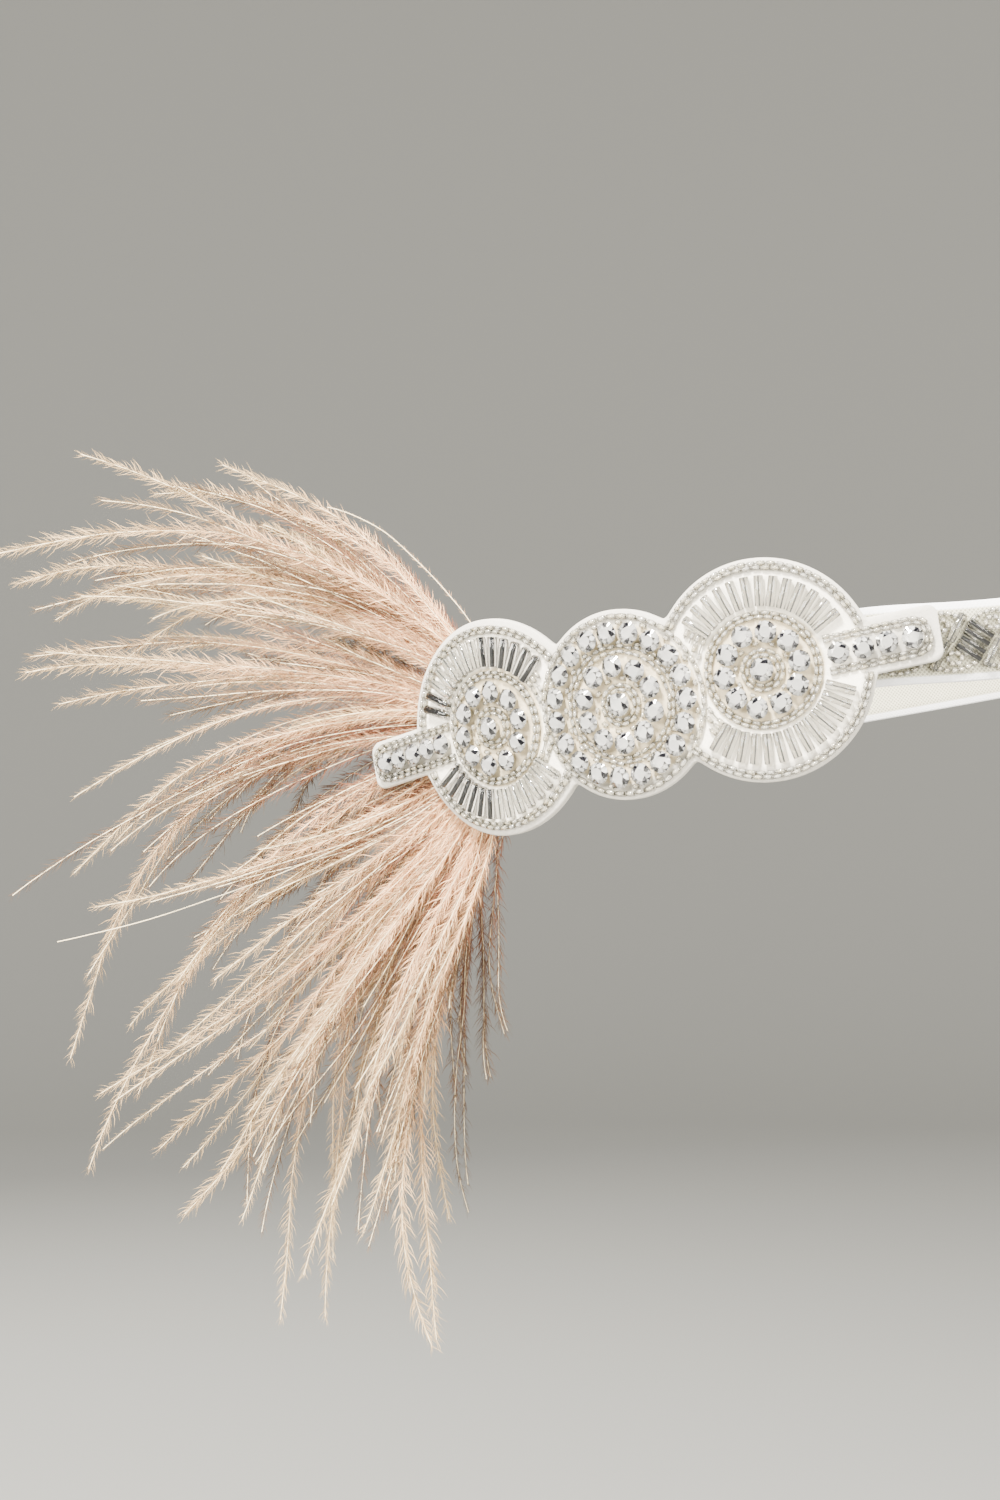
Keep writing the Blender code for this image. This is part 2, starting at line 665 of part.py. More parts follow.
def build_plume():
    """Flattened locks that fan out of a pad behind the left medallion."""
    foot, normal, tangent = loop_axes(LEAVE)
    plane = Matrix((-tangent, Vector((0.0, 0.0, 1.0)), normal)).transposed().to_4x4()
    plane = Matrix.Translation(foot + normal * PLUME_OUT) @ plane
    bm = bmesh.new()
    bmesh.ops.create_cone(
        bm,
        cap_ends=True,
        segments=PAD_SIDES,
        radius1=PAD_RADIUS,
        radius2=PAD_RADIUS,
        depth=PAD_THICKNESS,
        matrix=plane @ Matrix.Translation((-PLUME_ROOT[0], PLUME_ROOT[1], 0.0)),
    )
    plume = add_part("feather_plume", mesh_from(bm, "feather_plume"), FEATHER)
    flatten = Matrix.Diagonal((1.0, 1.0, LOCK_FLATNESS, 1.0))
    for k, (aim, turn, reach, lift, fullest, covered) in enumerate(LOCKS):
        points = lock_points(aim, turn, reach, lift, covered)
        layer = (k % 3 - 1) * LOCK_LAYER
        raised = [Vector((point.x, point.y, (point.z + layer) / LOCK_FLATNESS)) for point in points]
        curve = tube_curve(f"lock_{k}", raised, 1.0, False)
        for distance, spot in zip(lock_distances(reach, covered), curve.splines[0].points):
            spot.radius = lock_radius(distance, reach, fullest, covered)
            spot.tilt = LOCK_TWIST * k
        fuse(plume, add_cutter(f"lock_{k}", tube_mesh(f"lock_{k}", curve, plane @ flatten)))


for old in list(bpy.data.objects):
    bpy.data.objects.remove(old)

PARTS = new_collection("flapper_headband")
CUTTERS = new_collection("cutters")
LOOP_FRAME = bpy.data.objects.new("loop_frame", None)
PARTS.objects.link(LOOP_FRAME)
LOOP_FRAME.rotation_euler.x = -LOOP_TILT

build_band()
build_elastic()
build_felt()
build_fan_medallion(LEFT)
build_fan_medallion(RIGHT)
build_middle_medallion()
build_plume()
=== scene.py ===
"""Flapper headband, dressed: beaded medallions on felt, a beaded net band, elastic and an ostrich plume.

Lengths are metres and +Z is up. The wearer faces -Y, and the medallions sit on the wearer's right, at -X.
A place on the loop is given by its length along it from the right ear towards the face, its height from
the loop's middle line, and its distance out from the head. The whole loop is tilted, brow side up.
"""

import json
import logging
import math
import random
from collections.abc import Callable, Iterable, Sequence
from dataclasses import astuple, dataclass, field
from enum import Enum
from itertools import cycle, islice
from typing import Any

import bmesh
import bpy
import numpy as np
from bmesh.types import BMesh
from bpy.types import Material, Mesh, Node, NodeSocket, NodeTree, Object
from mathutils import Matrix, Vector

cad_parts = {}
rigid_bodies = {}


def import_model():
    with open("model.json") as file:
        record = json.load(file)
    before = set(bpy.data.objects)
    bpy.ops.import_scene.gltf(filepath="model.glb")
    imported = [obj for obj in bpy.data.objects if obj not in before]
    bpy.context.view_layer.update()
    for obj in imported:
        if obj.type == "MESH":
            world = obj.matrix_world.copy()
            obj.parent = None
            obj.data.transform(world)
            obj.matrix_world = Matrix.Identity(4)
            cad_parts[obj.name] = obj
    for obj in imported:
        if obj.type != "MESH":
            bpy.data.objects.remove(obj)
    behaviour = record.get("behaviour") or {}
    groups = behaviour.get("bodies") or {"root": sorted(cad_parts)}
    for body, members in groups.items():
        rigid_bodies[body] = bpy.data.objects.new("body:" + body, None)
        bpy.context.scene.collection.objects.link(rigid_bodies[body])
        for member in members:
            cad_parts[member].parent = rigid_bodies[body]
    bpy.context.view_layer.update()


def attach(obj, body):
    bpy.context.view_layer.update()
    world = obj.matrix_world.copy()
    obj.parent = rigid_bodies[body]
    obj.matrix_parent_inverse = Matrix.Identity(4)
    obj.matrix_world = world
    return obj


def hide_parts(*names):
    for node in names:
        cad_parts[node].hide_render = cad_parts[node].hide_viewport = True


LOG = logging.getLogger("flapper_headband")

MM = 0.001
BODY = "root"
UV_UNIT = 100.0 * MM

# A length along the loop and a height, or any other pair of lengths.
Place = tuple[float, float]
# A point by its distances along three axes.
Spot = tuple[float, float, float]
# The least and the largest value of something that varies.
Span = tuple[float, float]
# Red, green and blue, in linear light.
Colour = tuple[float, float, float]
# A line's points, and whether it closes on itself.
Line = tuple[Sequence[Vector], bool]
# What each input of a node takes, by name or number: another node's socket, or a plain value.
Inputs = dict[str | int, Any]


# Node trees


class NodeBuilder:
    """A node tree under construction."""

    def __init__(self, tree: NodeTree) -> None:
        """Start on a tree."""
        self.tree = tree

    def declare(self, in_out: str, **sockets: Sequence[str]) -> dict[str, str]:
        """Make named sockets of the tree.

        Args:
            in_out: INPUT or OUTPUT.
            **sockets: The names of the sockets of each kind, such as Float or Object.

        Returns:
            The identifier of each socket, by its name.
        """
        made = {}
        for kind, labels in sockets.items():
            for label in labels:
                socket = self.tree.interface.new_socket(label, in_out=in_out, socket_type=f"NodeSocket{kind}")
                made[label] = socket.identifier
        return made

    def add(self, kind: str, inputs: Inputs | None = None, **options: Any) -> Node:
        """Add a node, set its options and feed its inputs.

        Args:
            kind: The node's type name.
            inputs: What its inputs take.
            **options: Values of the node's own properties.

        Returns:
            The new node.
        """
        node = self.tree.nodes.new(kind)
        for option, value in options.items():
            setattr(node, option, value)
        for key, value in (inputs or {}).items():
            if isinstance(value, NodeSocket):
                self.tree.links.new(value, node.inputs[key])
            else:
                node.inputs[key].default_value = value
        return node

    def put(self, kind: str, inputs: Inputs | None = None, **options: Any) -> NodeSocket:
        """Add a node in the same way, and give its first output."""
        return self.add(kind, inputs, **options).outputs[0]

    def calculate(self, operation: str, *values: Any) -> NodeSocket:
        """Add a Math node on sockets or numbers, and give its result."""
        return self.put("ShaderNodeMath", dict(enumerate(values)), operation=operation)

    def calculate_vector(self, operation: str, *values: Any) -> NodeSocket:
        """Add a Vector Math node.

        Args:
            operation: The node's operation.
            *values: Its inputs in order, sockets or vectors. A SCALE takes its factor last.

        Returns:
            The socket of its result.
        """
        inputs: Inputs = dict(enumerate(values))
        if operation == "SCALE":
            inputs = {0: values[0], "Scale": values[1]}
        node = self.add("ShaderNodeVectorMath", inputs, operation=operation)
        return node.outputs["Value" if operation == "DISTANCE" else "Vector"]


class GeometryTree(NodeBuilder):
    """A Geometry Nodes tree with named inputs, which turns a guide into a finished mesh."""

    def __init__(self, name: str, **inputs: Sequence[str]) -> None:
        """Make the tree's sockets.

        Args:
            name: The tree's name.
            **inputs: The names of the inputs of each kind.
        """
        super().__init__(bpy.data.node_groups.new(name, "GeometryNodeTree"))
        self.identifiers = self.declare("INPUT", Geometry=("Geometry",), **inputs)
        self.declare("OUTPUT", Geometry=("Geometry",))
        self.given = self.add("NodeGroupInput").outputs
        self.result = self.add("NodeGroupOutput").inputs[0]

    def attribute(self, name: str, kind: str = "FLOAT") -> NodeSocket:
        """Read an attribute of the guide by its name."""
        node = self.add("GeometryNodeInputNamedAttribute", {"Name": name}, data_type=kind)
        return node.outputs["Attribute"]

    def store(self, geometry: NodeSocket, name: str, value: Any, domain: str = "POINT") -> NodeSocket:
        """Keep a number as an attribute of the geometry."""
        inputs = {"Geometry": geometry, "Name": name, "Value": value}
        return self.put("GeometryNodeStoreNamedAttribute", inputs, data_type="FLOAT", domain=domain)

    def random(self, low: Any, high: Any, seed: Any) -> NodeSocket:
        """Give a random number for each element."""
        inputs = {2: low, 3: high, "Seed": seed}
        return self.add("FunctionNodeRandomValue", inputs, data_type="FLOAT").outputs[1]

    def random_vector(self, reach: Any, seed: Any) -> NodeSocket:
        """Give a random vector whose components lie within a reach of 0."""
        inputs = {0: (-1.0, -1.0, -1.0), 1: (1.0, 1.0, 1.0), "Seed": seed}
        whole = self.put("FunctionNodeRandomValue", inputs, data_type="FLOAT_VECTOR")
        return self.calculate_vector("SCALE", whole, reach)

    def circle(self, sides: int, radius: Any) -> NodeSocket:
        """Draw a circle of straight sides."""
        return self.put("GeometryNodeCurvePrimitiveCircle", {"Resolution": sides, "Radius": radius})

    def sweep(self, curve: NodeSocket, sides: int, radius: Any, capped: bool = False) -> NodeSocket:
        """Sweep a round section along curves, and cap it if that is asked."""
        inputs = {"Curve": curve, "Profile Curve": self.circle(sides, radius), "Fill Caps": capped}
        return self.put("GeometryNodeCurveToMesh", inputs)

    def spots_along(self, curve: NodeSocket, spacing: Any) -> Node:
        """Set points along curves, and give the node, with its Points and Tangent."""
        return self.add("GeometryNodeCurveToPoints", {"Curve": curve, "Length": spacing}, mode="LENGTH")

    def shape_of(self, label: str) -> NodeSocket:
        """Give the shape of the object that a named input holds."""
        return self.add("GeometryNodeObjectInfo", {"Object": self.given[label]}).outputs["Geometry"]

    def copies(self, points: NodeSocket, shape: NodeSocket, turned: NodeSocket, size: Any) -> NodeSocket:
        """Set copies of a shape on points, each turned and sized."""
        inputs = {"Points": points, "Instance": shape, "Rotation": turned, "Scale": size}
        return self.put("GeometryNodeInstanceOnPoints", inputs)

    def join(self, *parts: NodeSocket) -> NodeSocket:
        """Join several geometries."""
        node = self.add("GeometryNodeJoinGeometry")
        for part in parts:
            self.tree.links.new(part, node.inputs[0])
        return node.outputs[0]

    def finish(self, geometry: NodeSocket, materials: dict[str, str]) -> None:
        """End the tree: make its copies real and give them their materials.

        Args:
            geometry: What the tree has made.
            materials: The named input of each material, and the attribute that marks its faces, empty for
                the one that takes all the others.
        """
        geometry = self.put("GeometryNodeRealizeInstances", {"Geometry": geometry})
        for label, mark in materials.items():
            inputs = {"Geometry": geometry, "Material": self.given[label]}
            if mark:
                inputs["Selection"] = self.calculate("GREATER_THAN", self.attribute(mark), 0.5)
            geometry = self.put("GeometryNodeSetMaterial", inputs)
        self.tree.links.new(geometry, self.result)

    def make(self, name: str, guide: Object, values: dict[str, Any]) -> Object:
        """Run the tree on a guide and keep the result as a plain mesh.

        Args:
            name: The finished piece's name.
            guide: The object that carries the points or lines, which is removed.
            values: What each named input is set to.

        Returns:
            The finished piece.
        """
        modifier = guide.modifiers.new("make", "NODES")
        modifier.node_group = self.tree
        for label, value in values.items():
            modifier[self.identifiers[label]] = value
        return keep_plain(name, guide)


# Objects


def new_object(name: str, data: bpy.types.ID) -> Object:
    """Put data into the scene as an object at the origin."""
    made = bpy.data.objects.new(name, data)
    bpy.context.scene.collection.objects.link(made)
    return made


def keep_plain(name: str, guide: Object) -> Object:
    """Keep what a guide shows as a plain mesh, and remove the guide and its modifiers.

    Args:
        name: The plain object's name.
        guide: A mesh or a curve object.

    Returns:
        The plain object.
    """
    depsgraph = bpy.context.evaluated_depsgraph_get()
    mesh = bpy.data.meshes.new_from_object(guide.evaluated_get(depsgraph), depsgraph=depsgraph)
    guide.modifiers.clear()
    bpy.data.batch_remove((guide, guide.data))
    mesh.name = name
    return new_object(name, mesh)


def mesh_of(bm: BMesh, name: str) -> Mesh:
    """Turn a mesh under construction into a finished one."""
    mesh = bpy.data.meshes.new(name)
    bm.to_mesh(mesh)
    bm.free()
    return mesh


def keep_numbers(mesh: Mesh, name: str, values: Sequence[float], domain: str = "POINT") -> None:
    """Keep a number for each vertex of a mesh, or for each face."""
    mesh.attributes.new(name, "FLOAT", domain).data.foreach_set("value", values)


def join_pieces(name: str, pieces: Sequence[Object]) -> Object:
    """Join finished meshes into one, which keeps their attributes and materials.

    Args:
        name: The name of the joined piece.
        pieces: The meshes, of which the first takes in the others.

    Returns:
        The joined piece.
    """
    chosen = list(pieces)
    with bpy.context.temp_override(
        active_object=chosen[0], selected_editable_objects=chosen, selected_objects=chosen
    ):
        bpy.ops.object.join()
    chosen[0].name = name
    chosen[0].data.name = name
    return chosen[0]


def settle(piece: Object, nodes: Iterable[str] = ()) -> Object:
    """Tell the frame what a finished piece rides on and what it stands for.

    Args:
        piece: The finished piece.
        nodes: The solids that the piece stands for.

    Returns:
        The same piece.
    """
    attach(piece, BODY)
    nodes = tuple(nodes)
    if nodes:
        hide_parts(*nodes)
    triangles = sum(len(face.vertices) - 2 for face in piece.data.polygons)
    LOG.info("%s: %d triangles", piece.name, triangles)
    return piece


# The loop and what is laid out on it


@dataclass
class Loop:
    """The line round the head that every piece is laid out on."""

    half_width: float = 75.0 * MM
    half_depth: float = 93.0 * MM
    tilt: float = math.radians(10.6)
    leave: float = -33.0 * MM
    rise_peak: float = 45.0 * MM
    rise_spread: float = 22.0 * MM
    rise_height: float = 2.8 * MM
    rise_base: float = -0.6 * MM
    steps: int = 720

    def __post_init__(self) -> None:
        """Measure the ellipse round from the right ear."""
        self.angles = np.linspace(0.0, math.tau, self.steps + 1)
        across, ahead = self.half_width * np.cos(self.angles), self.half_depth * np.sin(self.angles)
        runs = np.hypot(np.diff(across), np.diff(ahead))
        self.arcs = np.concatenate([[0.0], np.cumsum(runs)])
        self.length = float(self.arcs[-1])
        self.turn = Matrix.Rotation(-self.tilt, 4, "X")

    def axes(self, along: float) -> tuple[Vector, Vector, Vector]:
        """Give the untilted foot on the head, outward normal and forward tangent at a length along it."""
        angle = float(np.interp(along % self.length, self.arcs, self.angles))
        foot = Vector((-self.half_width * math.cos(angle), -self.half_depth * math.sin(angle), 0.0))
        normal = Vector((foot.x / self.half_width**2, foot.y / self.half_depth**2, 0.0)).normalized()
        return foot, normal, Vector((-normal.y, normal.x, 0.0))

    def sheet_axes(self, along: float) -> tuple[Vector, Vector, Vector]:
        """Give the same for the medallions' sheet, which leaves the head where feathers lie under it."""
        foot, normal, tangent = self.axes(max(along, self.leave))
        return foot + tangent * min(along - self.leave, 0.0), normal, tangent

    def rise(self, along: float) -> float:
        """Give the height of the band's middle line, which arches a little over the temple."""
        share = (along - self.rise_peak) / self.rise_spread
        return self.rise_base + self.rise_height * math.exp(-(share**2))

    def seat(self, place: Place, out: float, heading: float = 0.0, on_band: bool = False) -> Matrix:
        """Give a seat on the loop, with X along a heading in its surface and Z out of it.

        Args:
            place: Length along the loop and height.
            out: Distance from the head.
            heading: Direction of X, 0 forwards and a quarter turn up.
            on_band: Whether the height is from the band's middle line, and the surface the band's.

        Returns:
            The seat's matrix.
        """
        along, up = place
        foot, normal, tangent = self.axes(along) if on_band else self.sheet_axes(along)
        if on_band:
            up += self.rise(along)
        spot = foot + normal * out + Vector((0.0, 0.0, up))
        aim = tangent * math.cos(heading) + Vector((0.0, 0.0, math.sin(heading)))
        axes = Matrix((aim, normal.cross(aim), normal)).transposed().to_4x4()
        return self.turn @ Matrix.Translation(spot) @ axes

    def point(self, place: Place, out: float, on_band: bool = False) -> Vector:
        """Give a point on the loop, with the arguments of seat."""
        return self.seat(place, out, 0.0, on_band).translation


class Side(Enum):
    """Which side of its tail a fan or a row of beads lies on."""

    UPPER = "upper"
    LOWER = "lower"


@dataclass(frozen=True)
class Medallion:
    """A disc of beadwork on the felt.

    Attributes:
        name: The name that its pieces start with.
        along: Its centre's length along the loop.
        up: Its centre's height.
        narrowing: How much narrower than tall the pull of the loop makes it.
        felt_radius: Radius of the felt under it.
        rim: Radius of the middle of its outer beads.
        field: Radius of the felt painted darker round the centre, partly the threads' colour and partly
            painted shade of the beads and stones.
        tail: Its tail's heading in degrees.
        tail_stones: How many stones lie on the tail.
        tail_half: Half the width of the felt under the tail.
        tail_margin: How far that felt goes on beyond the tail's beads.
        stone_pitch: Distance between the tail's stones.
        dark_bugles: The numbers of the bugles whose lining is dark, on each side, counted from the tail.
    """

    name: str
    along: float
    up: float
    narrowing: float
    felt_radius: float
    rim: float
    field: float
    tail: float = 0.0
    tail_stones: int = 0
    tail_half: float = 5.67 * MM
    tail_margin: float = 1.5 * MM
    stone_pitch: float = 4.3 * MM
    dark_bugles: dict[Side, tuple[int, ...]] = field(default_factory=dict)

    @property
    def centre(self) -> Place:
        """Give the centre's place."""
        return self.along, self.up

    def polar(self, radius: float, heading: float) -> Place:
        """Give a place at a distance and heading from the centre, on the narrowed circles."""
        across = self.narrowing * radius * math.cos(heading)
        return self.along + across, self.up + radius * math.sin(heading)

    def ring(self, radius: float, count: int, first: float = 0.0) -> list[Place]:
        """Give places evenly round the medallion, from a first heading."""
        return [self.polar(radius, first + math.tau * k / count) for k in range(count)]

    def tail_place(self, reach: float, aside: float = 0.0) -> Place:
        """Give a place out along the tail, and aside from its middle line."""
        heading = math.radians(self.tail)
        along = self.along + reach * math.cos(heading) - aside * math.sin(heading)
        return along, self.up + reach * math.sin(heading) + aside * math.cos(heading)

    def heading(self, side: Side, angle: float) -> float:
        """Give the heading at an angle from the tail towards its upper or lower side."""
        upwards = -1 if math.cos(math.radians(self.tail)) < 0 else 1
        return math.radians(self.tail) + (upwards if side is Side.UPPER else -upwards) * angle


LEFT = Medallion(
    name="left",
    along=-30.2 * MM,
    up=-0.4 * MM,
    narrowing=1.0,
    felt_radius=22.2 * MM,
    rim=20.1 * MM,
    field=12.6 * MM,
    tail=185.0,
    tail_stones=5,
    tail_half=4.9 * MM,
    tail_margin=0.8 * MM,
    dark_bugles={Side.UPPER: (0, 1, 8, 9, 10, 11, 12, 13), Side.LOWER: (0, 1, 2, 3, 4, 5)},
)
MIDDLE = Medallion(
    name="middle",
    along=0.0,
    up=-0.7 * MM,
    narrowing=0.95,
    felt_radius=19.1 * MM,
    rim=17.75 * MM,
    field=17.2 * MM,
)
RIGHT = Medallion(
    name="right",
    along=28.8 * MM,
    up=1.1 * MM,
    narrowing=0.96,
    felt_radius=22.2 * MM,
    rim=20.7 * MM,
    field=12.6 * MM,
    tail=3.0,
    tail_stones=4,
    stone_pitch=4.6 * MM,
)
MEDALLIONS = (LEFT, MIDDLE, RIGHT)


# Shader groups and finishes


class ShaderGroup(NodeBuilder):
    """A shader node group with named inputs and outputs, which finishes place with their own values."""

    def __init__(self, name: str, outputs: Sequence[str], **inputs: Sequence[str]) -> None:
        """Make the group's sockets.

        Args:
            name: The group's name.
            outputs: The names of the numbers that it puts out.
            **inputs: The names of the inputs of each kind.
        """
        super().__init__(bpy.data.node_groups.new(name, "ShaderNodeTree"))
        self.declare("INPUT", **inputs)
        self.declare("OUTPUT", Float=outputs)
        self.given = self.add("NodeGroupInput").outputs

    def finish(self, *results: NodeSocket) -> "ShaderGroup":
        """End the group: feed its outputs in order."""
        self.add("NodeGroupOutput", dict(enumerate(results)))
        return self

    def place(self, surface: NodeBuilder, **inputs: Any) -> Node:
        """Place the group in a material's tree, with its inputs by name."""
        named = {label.replace("_", " "): value for label, value in inputs.items()}
        return surface.add("ShaderNodeGroup", named, node_tree=self.tree)


class SharedEffects:
    """The groups that more than one finish uses."""

    def __init__(self) -> None:
        """Build each group once."""
        self.mottle = self._build_mottle()
        self.weave = self._build_weave()

    def _build_mottle(self) -> ShaderGroup:
        """Build cloudy variation in two sizes, on the piece's own coordinates.

        Returns:
            A group whose Shade multiplies a colour and whose Height feeds a bump.
        """
        made = ShaderGroup("mottle", ("Shade", "Height"), Float=("Scale", "Fine Scale", "Amount"))
        given = made.given
        spot = made.add("ShaderNodeTexCoord").outputs["Object"]
        broad = made.put("ShaderNodeTexNoise", {"Vector": spot, "Scale": given["Scale"]})
        fine = made.put("ShaderNodeTexNoise", {"Vector": spot, "Scale": given["Fine Scale"]})
        swing = made.calculate("SUBTRACT", made.calculate("ADD", broad, fine), 1.0)
        swing = made.calculate("MULTIPLY", swing, given["Amount"])
        return made.finish(made.calculate("ADD", swing, 1.0), fine)

    def _build_weave(self) -> ShaderGroup:
        """Build two sets of threads that cross, on a flat map of the cloth.

        Returns:
            A group whose Thread is 1 on top of a thread and 0 in a hole, and whose Crossing is 1 only where
            two threads cross, for colours and bumps.
        """
        labels = ("Along", "Across", "Turn")
        made = ShaderGroup("crossed_threads", ("Thread", "Crossing"), Vector=("Vector",), Float=labels)
        given = made.given
        inputs = {"Vector": given["Vector"], "Angle": given["Turn"]}
        turned = made.put("ShaderNodeVectorRotate", inputs, rotation_type="Z_AXIS")
        axes = made.add("ShaderNodeSeparateXYZ", {0: turned}).outputs
        ridges = []
        for axis, label in zip(axes, labels[:2]):
            phase = made.calculate("MULTIPLY", axis, given[label])
            ridges.append(made.calculate("ABSOLUTE", made.calculate("SINE", phase)))
        return made.finish(made.calculate("MAXIMUM", *ridges), made.calculate("MULTIPLY", *ridges))


class Surface(NodeBuilder):
    """A material with one Principled shader, under construction."""

    def __init__(self, name: str, **values: Any) -> None:
        """Make the material.

        Args:
            name: The material's name.
            **values: The shader's plain values, by input name with underscores for spaces.
        """
        self.material = bpy.data.materials.new(name)
        self.material.use_nodes = True
        super().__init__(self.material.node_tree)
        self.shader = self.tree.nodes["Principled BSDF"]
        for label, value in values.items():
            self.shader.inputs[label.replace("_", " ")].default_value = value

    def attribute(self, name: str) -> NodeSocket:
        """Read a number that the mesh carries."""
        return self.add("ShaderNodeAttribute", attribute_name=name).outputs["Fac"]

    def mix(self, share: Any, first: Any, second: Any, blend: str = "MIX") -> NodeSocket:
        """Mix two colours, each a socket or three numbers.

        Args:
            share: How much of the second colour there is.
            first: The first colour.
            second: The second colour.
            blend: How they are mixed.

        Returns:
            The mixed colour.
        """
        inputs: Inputs = {"Factor": share}
        for key, colour in ((6, first), (7, second)):
            inputs[key] = (*colour, 1.0) if isinstance(colour, tuple) else colour
        node = self.add("ShaderNodeMix", inputs, data_type="RGBA", blend_type=blend, clamp_factor=True)
        return node.outputs[2]

    def ease(self, value: Any, low: float, high: float) -> NodeSocket:
        """Map a range of values smoothly onto 0 to 1."""
        inputs = {"Value": value, "From Min": low, "From Max": high}
        return self.put("ShaderNodeMapRange", inputs, interpolation_type="SMOOTHSTEP")

    def feed(self, label: str, value: NodeSocket) -> None:
        """Feed one of the shader's inputs."""
        self.tree.links.new(value, self.shader.inputs[label])

    def bump(self, height: NodeSocket, strength: float, depth: float) -> None:
        """Feed the shader's normal from a height."""
        inputs = {"Height": height, "Strength": strength, "Distance": depth}
        self.feed("Normal", self.put("ShaderNodeBump", inputs))

    def cloud(self, effects: SharedEffects, colour: Any, scale: float, fine: float, amount: float) -> Node:
        """Feed the shader's colour, made lighter and darker by the mottle.

        Args:
            effects: The shared groups.
            colour: The colour, a socket or three numbers.
            scale: Scale of the broad clouds.
            fine: Scale of the fine ones.
            amount: How strong they are.

        Returns:
            The mottle's node.
        """
        mottle = effects.mottle.place(self, Scale=scale, Fine_Scale=fine, Amount=amount)
        shade = mottle.outputs["Shade"]
        grey = self.put("ShaderNodeCombineColor", {0: shade, 1: shade, 2: shade})
        self.feed("Base Color", self.mix(1.0, colour, grey, "MULTIPLY"))
        return mottle


@dataclass(frozen=True)
class GlassFinish:
    """Clear glass, whose tint runs between two colours from bead to bead, and whose edges are painted dark:
    painted shade for the dark reflections at a glass edge.
    """

    name: str
    clear: Colour
    tinted: Colour
    roughness: float
    ior: float = 1.5
    clearness: float = 1.0
    shaded_by: str = "tint"
    # Painted shade on the edges: the colour that they darken towards, and the facing over which it comes in.
    edge: Colour = (0.05, 0.05, 0.045)
    edge_shade_from: float = 0.3
    edge_shade_to: float = 0.85

    def build(self) -> Material:
        """Build the material."""
        values = {"Roughness": self.roughness, "IOR": self.ior, "Transmission_Weight": self.clearness}
        surface = Surface(self.name, **values)
        tinted = surface.mix(surface.attribute(self.shaded_by), self.clear, self.tinted)
        # Painted shade: the colour is darkened towards the edge colour where the surface turns away from the
        # view.
        facing = surface.add("ShaderNodeLayerWeight", {"Blend": 0.5}).outputs["Facing"]
        rim = surface.ease(facing, self.edge_shade_from, self.edge_shade_to)
        surface.feed("Base Color", surface.mix(rim, tinted, self.edge))
        return surface.material


@dataclass(frozen=True)
class MetalFinish:
    """Bright metal, whose shade runs between two colours from piece to piece."""

    name: str
    bright: Colour
    dark: Colour
    roughness: float
    mottle: float
    shaded_by: str = "tint"
    metallic: float = 1.0
    cloud_scale: float = 260.0
    grain_scale: float = 1900.0

    def build(self, effects: SharedEffects) -> Material:
        """Build the material, with the mottle in its colour and roughness."""
        surface = Surface(self.name, Metallic=self.metallic)
        colour = surface.mix(surface.attribute(self.shaded_by), self.bright, self.dark)
        mottle = surface.cloud(effects, colour, self.cloud_scale, self.grain_scale, self.mottle)
        rough = surface.calculate("MULTIPLY", mottle.outputs["Shade"], self.roughness)
        surface.feed("Roughness", rough)
        return surface.material


@dataclass(frozen=True)
class FeltFinish:
    """White wool felt: painted lighter and creamier under the beadwork, partly the sewn threads and partly
    painted light where the glass blocks the lamps, and darker round each centre, partly the threads and
    partly painted shade of the beads and stones.
    """

    name: str = "wool_felt"
    wool: Colour = (0.55, 0.52, 0.46)
    # Painted light under the beadwork's glass, partly the cream of the sewn threads.
    sewn: Colour = (0.95, 0.89, 0.77)
    # Painted shade of the beads and stones round each centre, partly the threads' colour.
    threaded_and_shaded: Colour = (0.66, 0.56, 0.38)
    margin: float = 1.6 * MM
    disc_fade: float = 1.2 * MM
    field_fade: float = 0.8 * MM
    cloud_scale: float = 120.0
    fibre_scale: float = 1500.0
    mottle: float = 0.16
    relief: float = 0.45
    fibre_depth: float = 0.25 * MM

    def build(self, effects: SharedEffects) -> Material:
        """Build the material, with masks of the three discs on the felt's flat map.

        Args:
            effects: The shared groups.

        Returns:
            The material.
        """
        surface = Surface(self.name, Roughness=0.95, Sheen_Weight=0.15, Sheen_Roughness=0.5)
        flat = surface.put("ShaderNodeUVMap")
        discs: Any = 0.0
        fields: Any = 0.0
        for medallion in MEDALLIONS:
            centre = (medallion.along / UV_UNIT, medallion.up / UV_UNIT, 0.0)
            away = surface.calculate_vector("DISTANCE", flat, centre)
            edge = (medallion.felt_radius * medallion.narrowing - self.margin) / UV_UNIT
            disc = surface.ease(away, edge, edge - self.disc_fade / UV_UNIT)
            discs = surface.calculate("MAXIMUM", discs, disc)
            edge = medallion.field * medallion.narrowing / UV_UNIT
            middle = surface.ease(away, edge, edge - self.field_fade / UV_UNIT)
            fields = surface.calculate("MAXIMUM", fields, middle)
        # Lighter discs under the beadwork: painted light, partly thread; darker fields round the centres:
        # painted shade, partly thread.
        colour = surface.mix(fields, surface.mix(discs, self.wool, self.sewn), self.threaded_and_shaded)
        mottle = surface.cloud(effects, colour, self.cloud_scale, self.fibre_scale, self.mottle)
        surface.bump(mottle.outputs["Height"], self.relief, self.fibre_depth)
        return surface.material


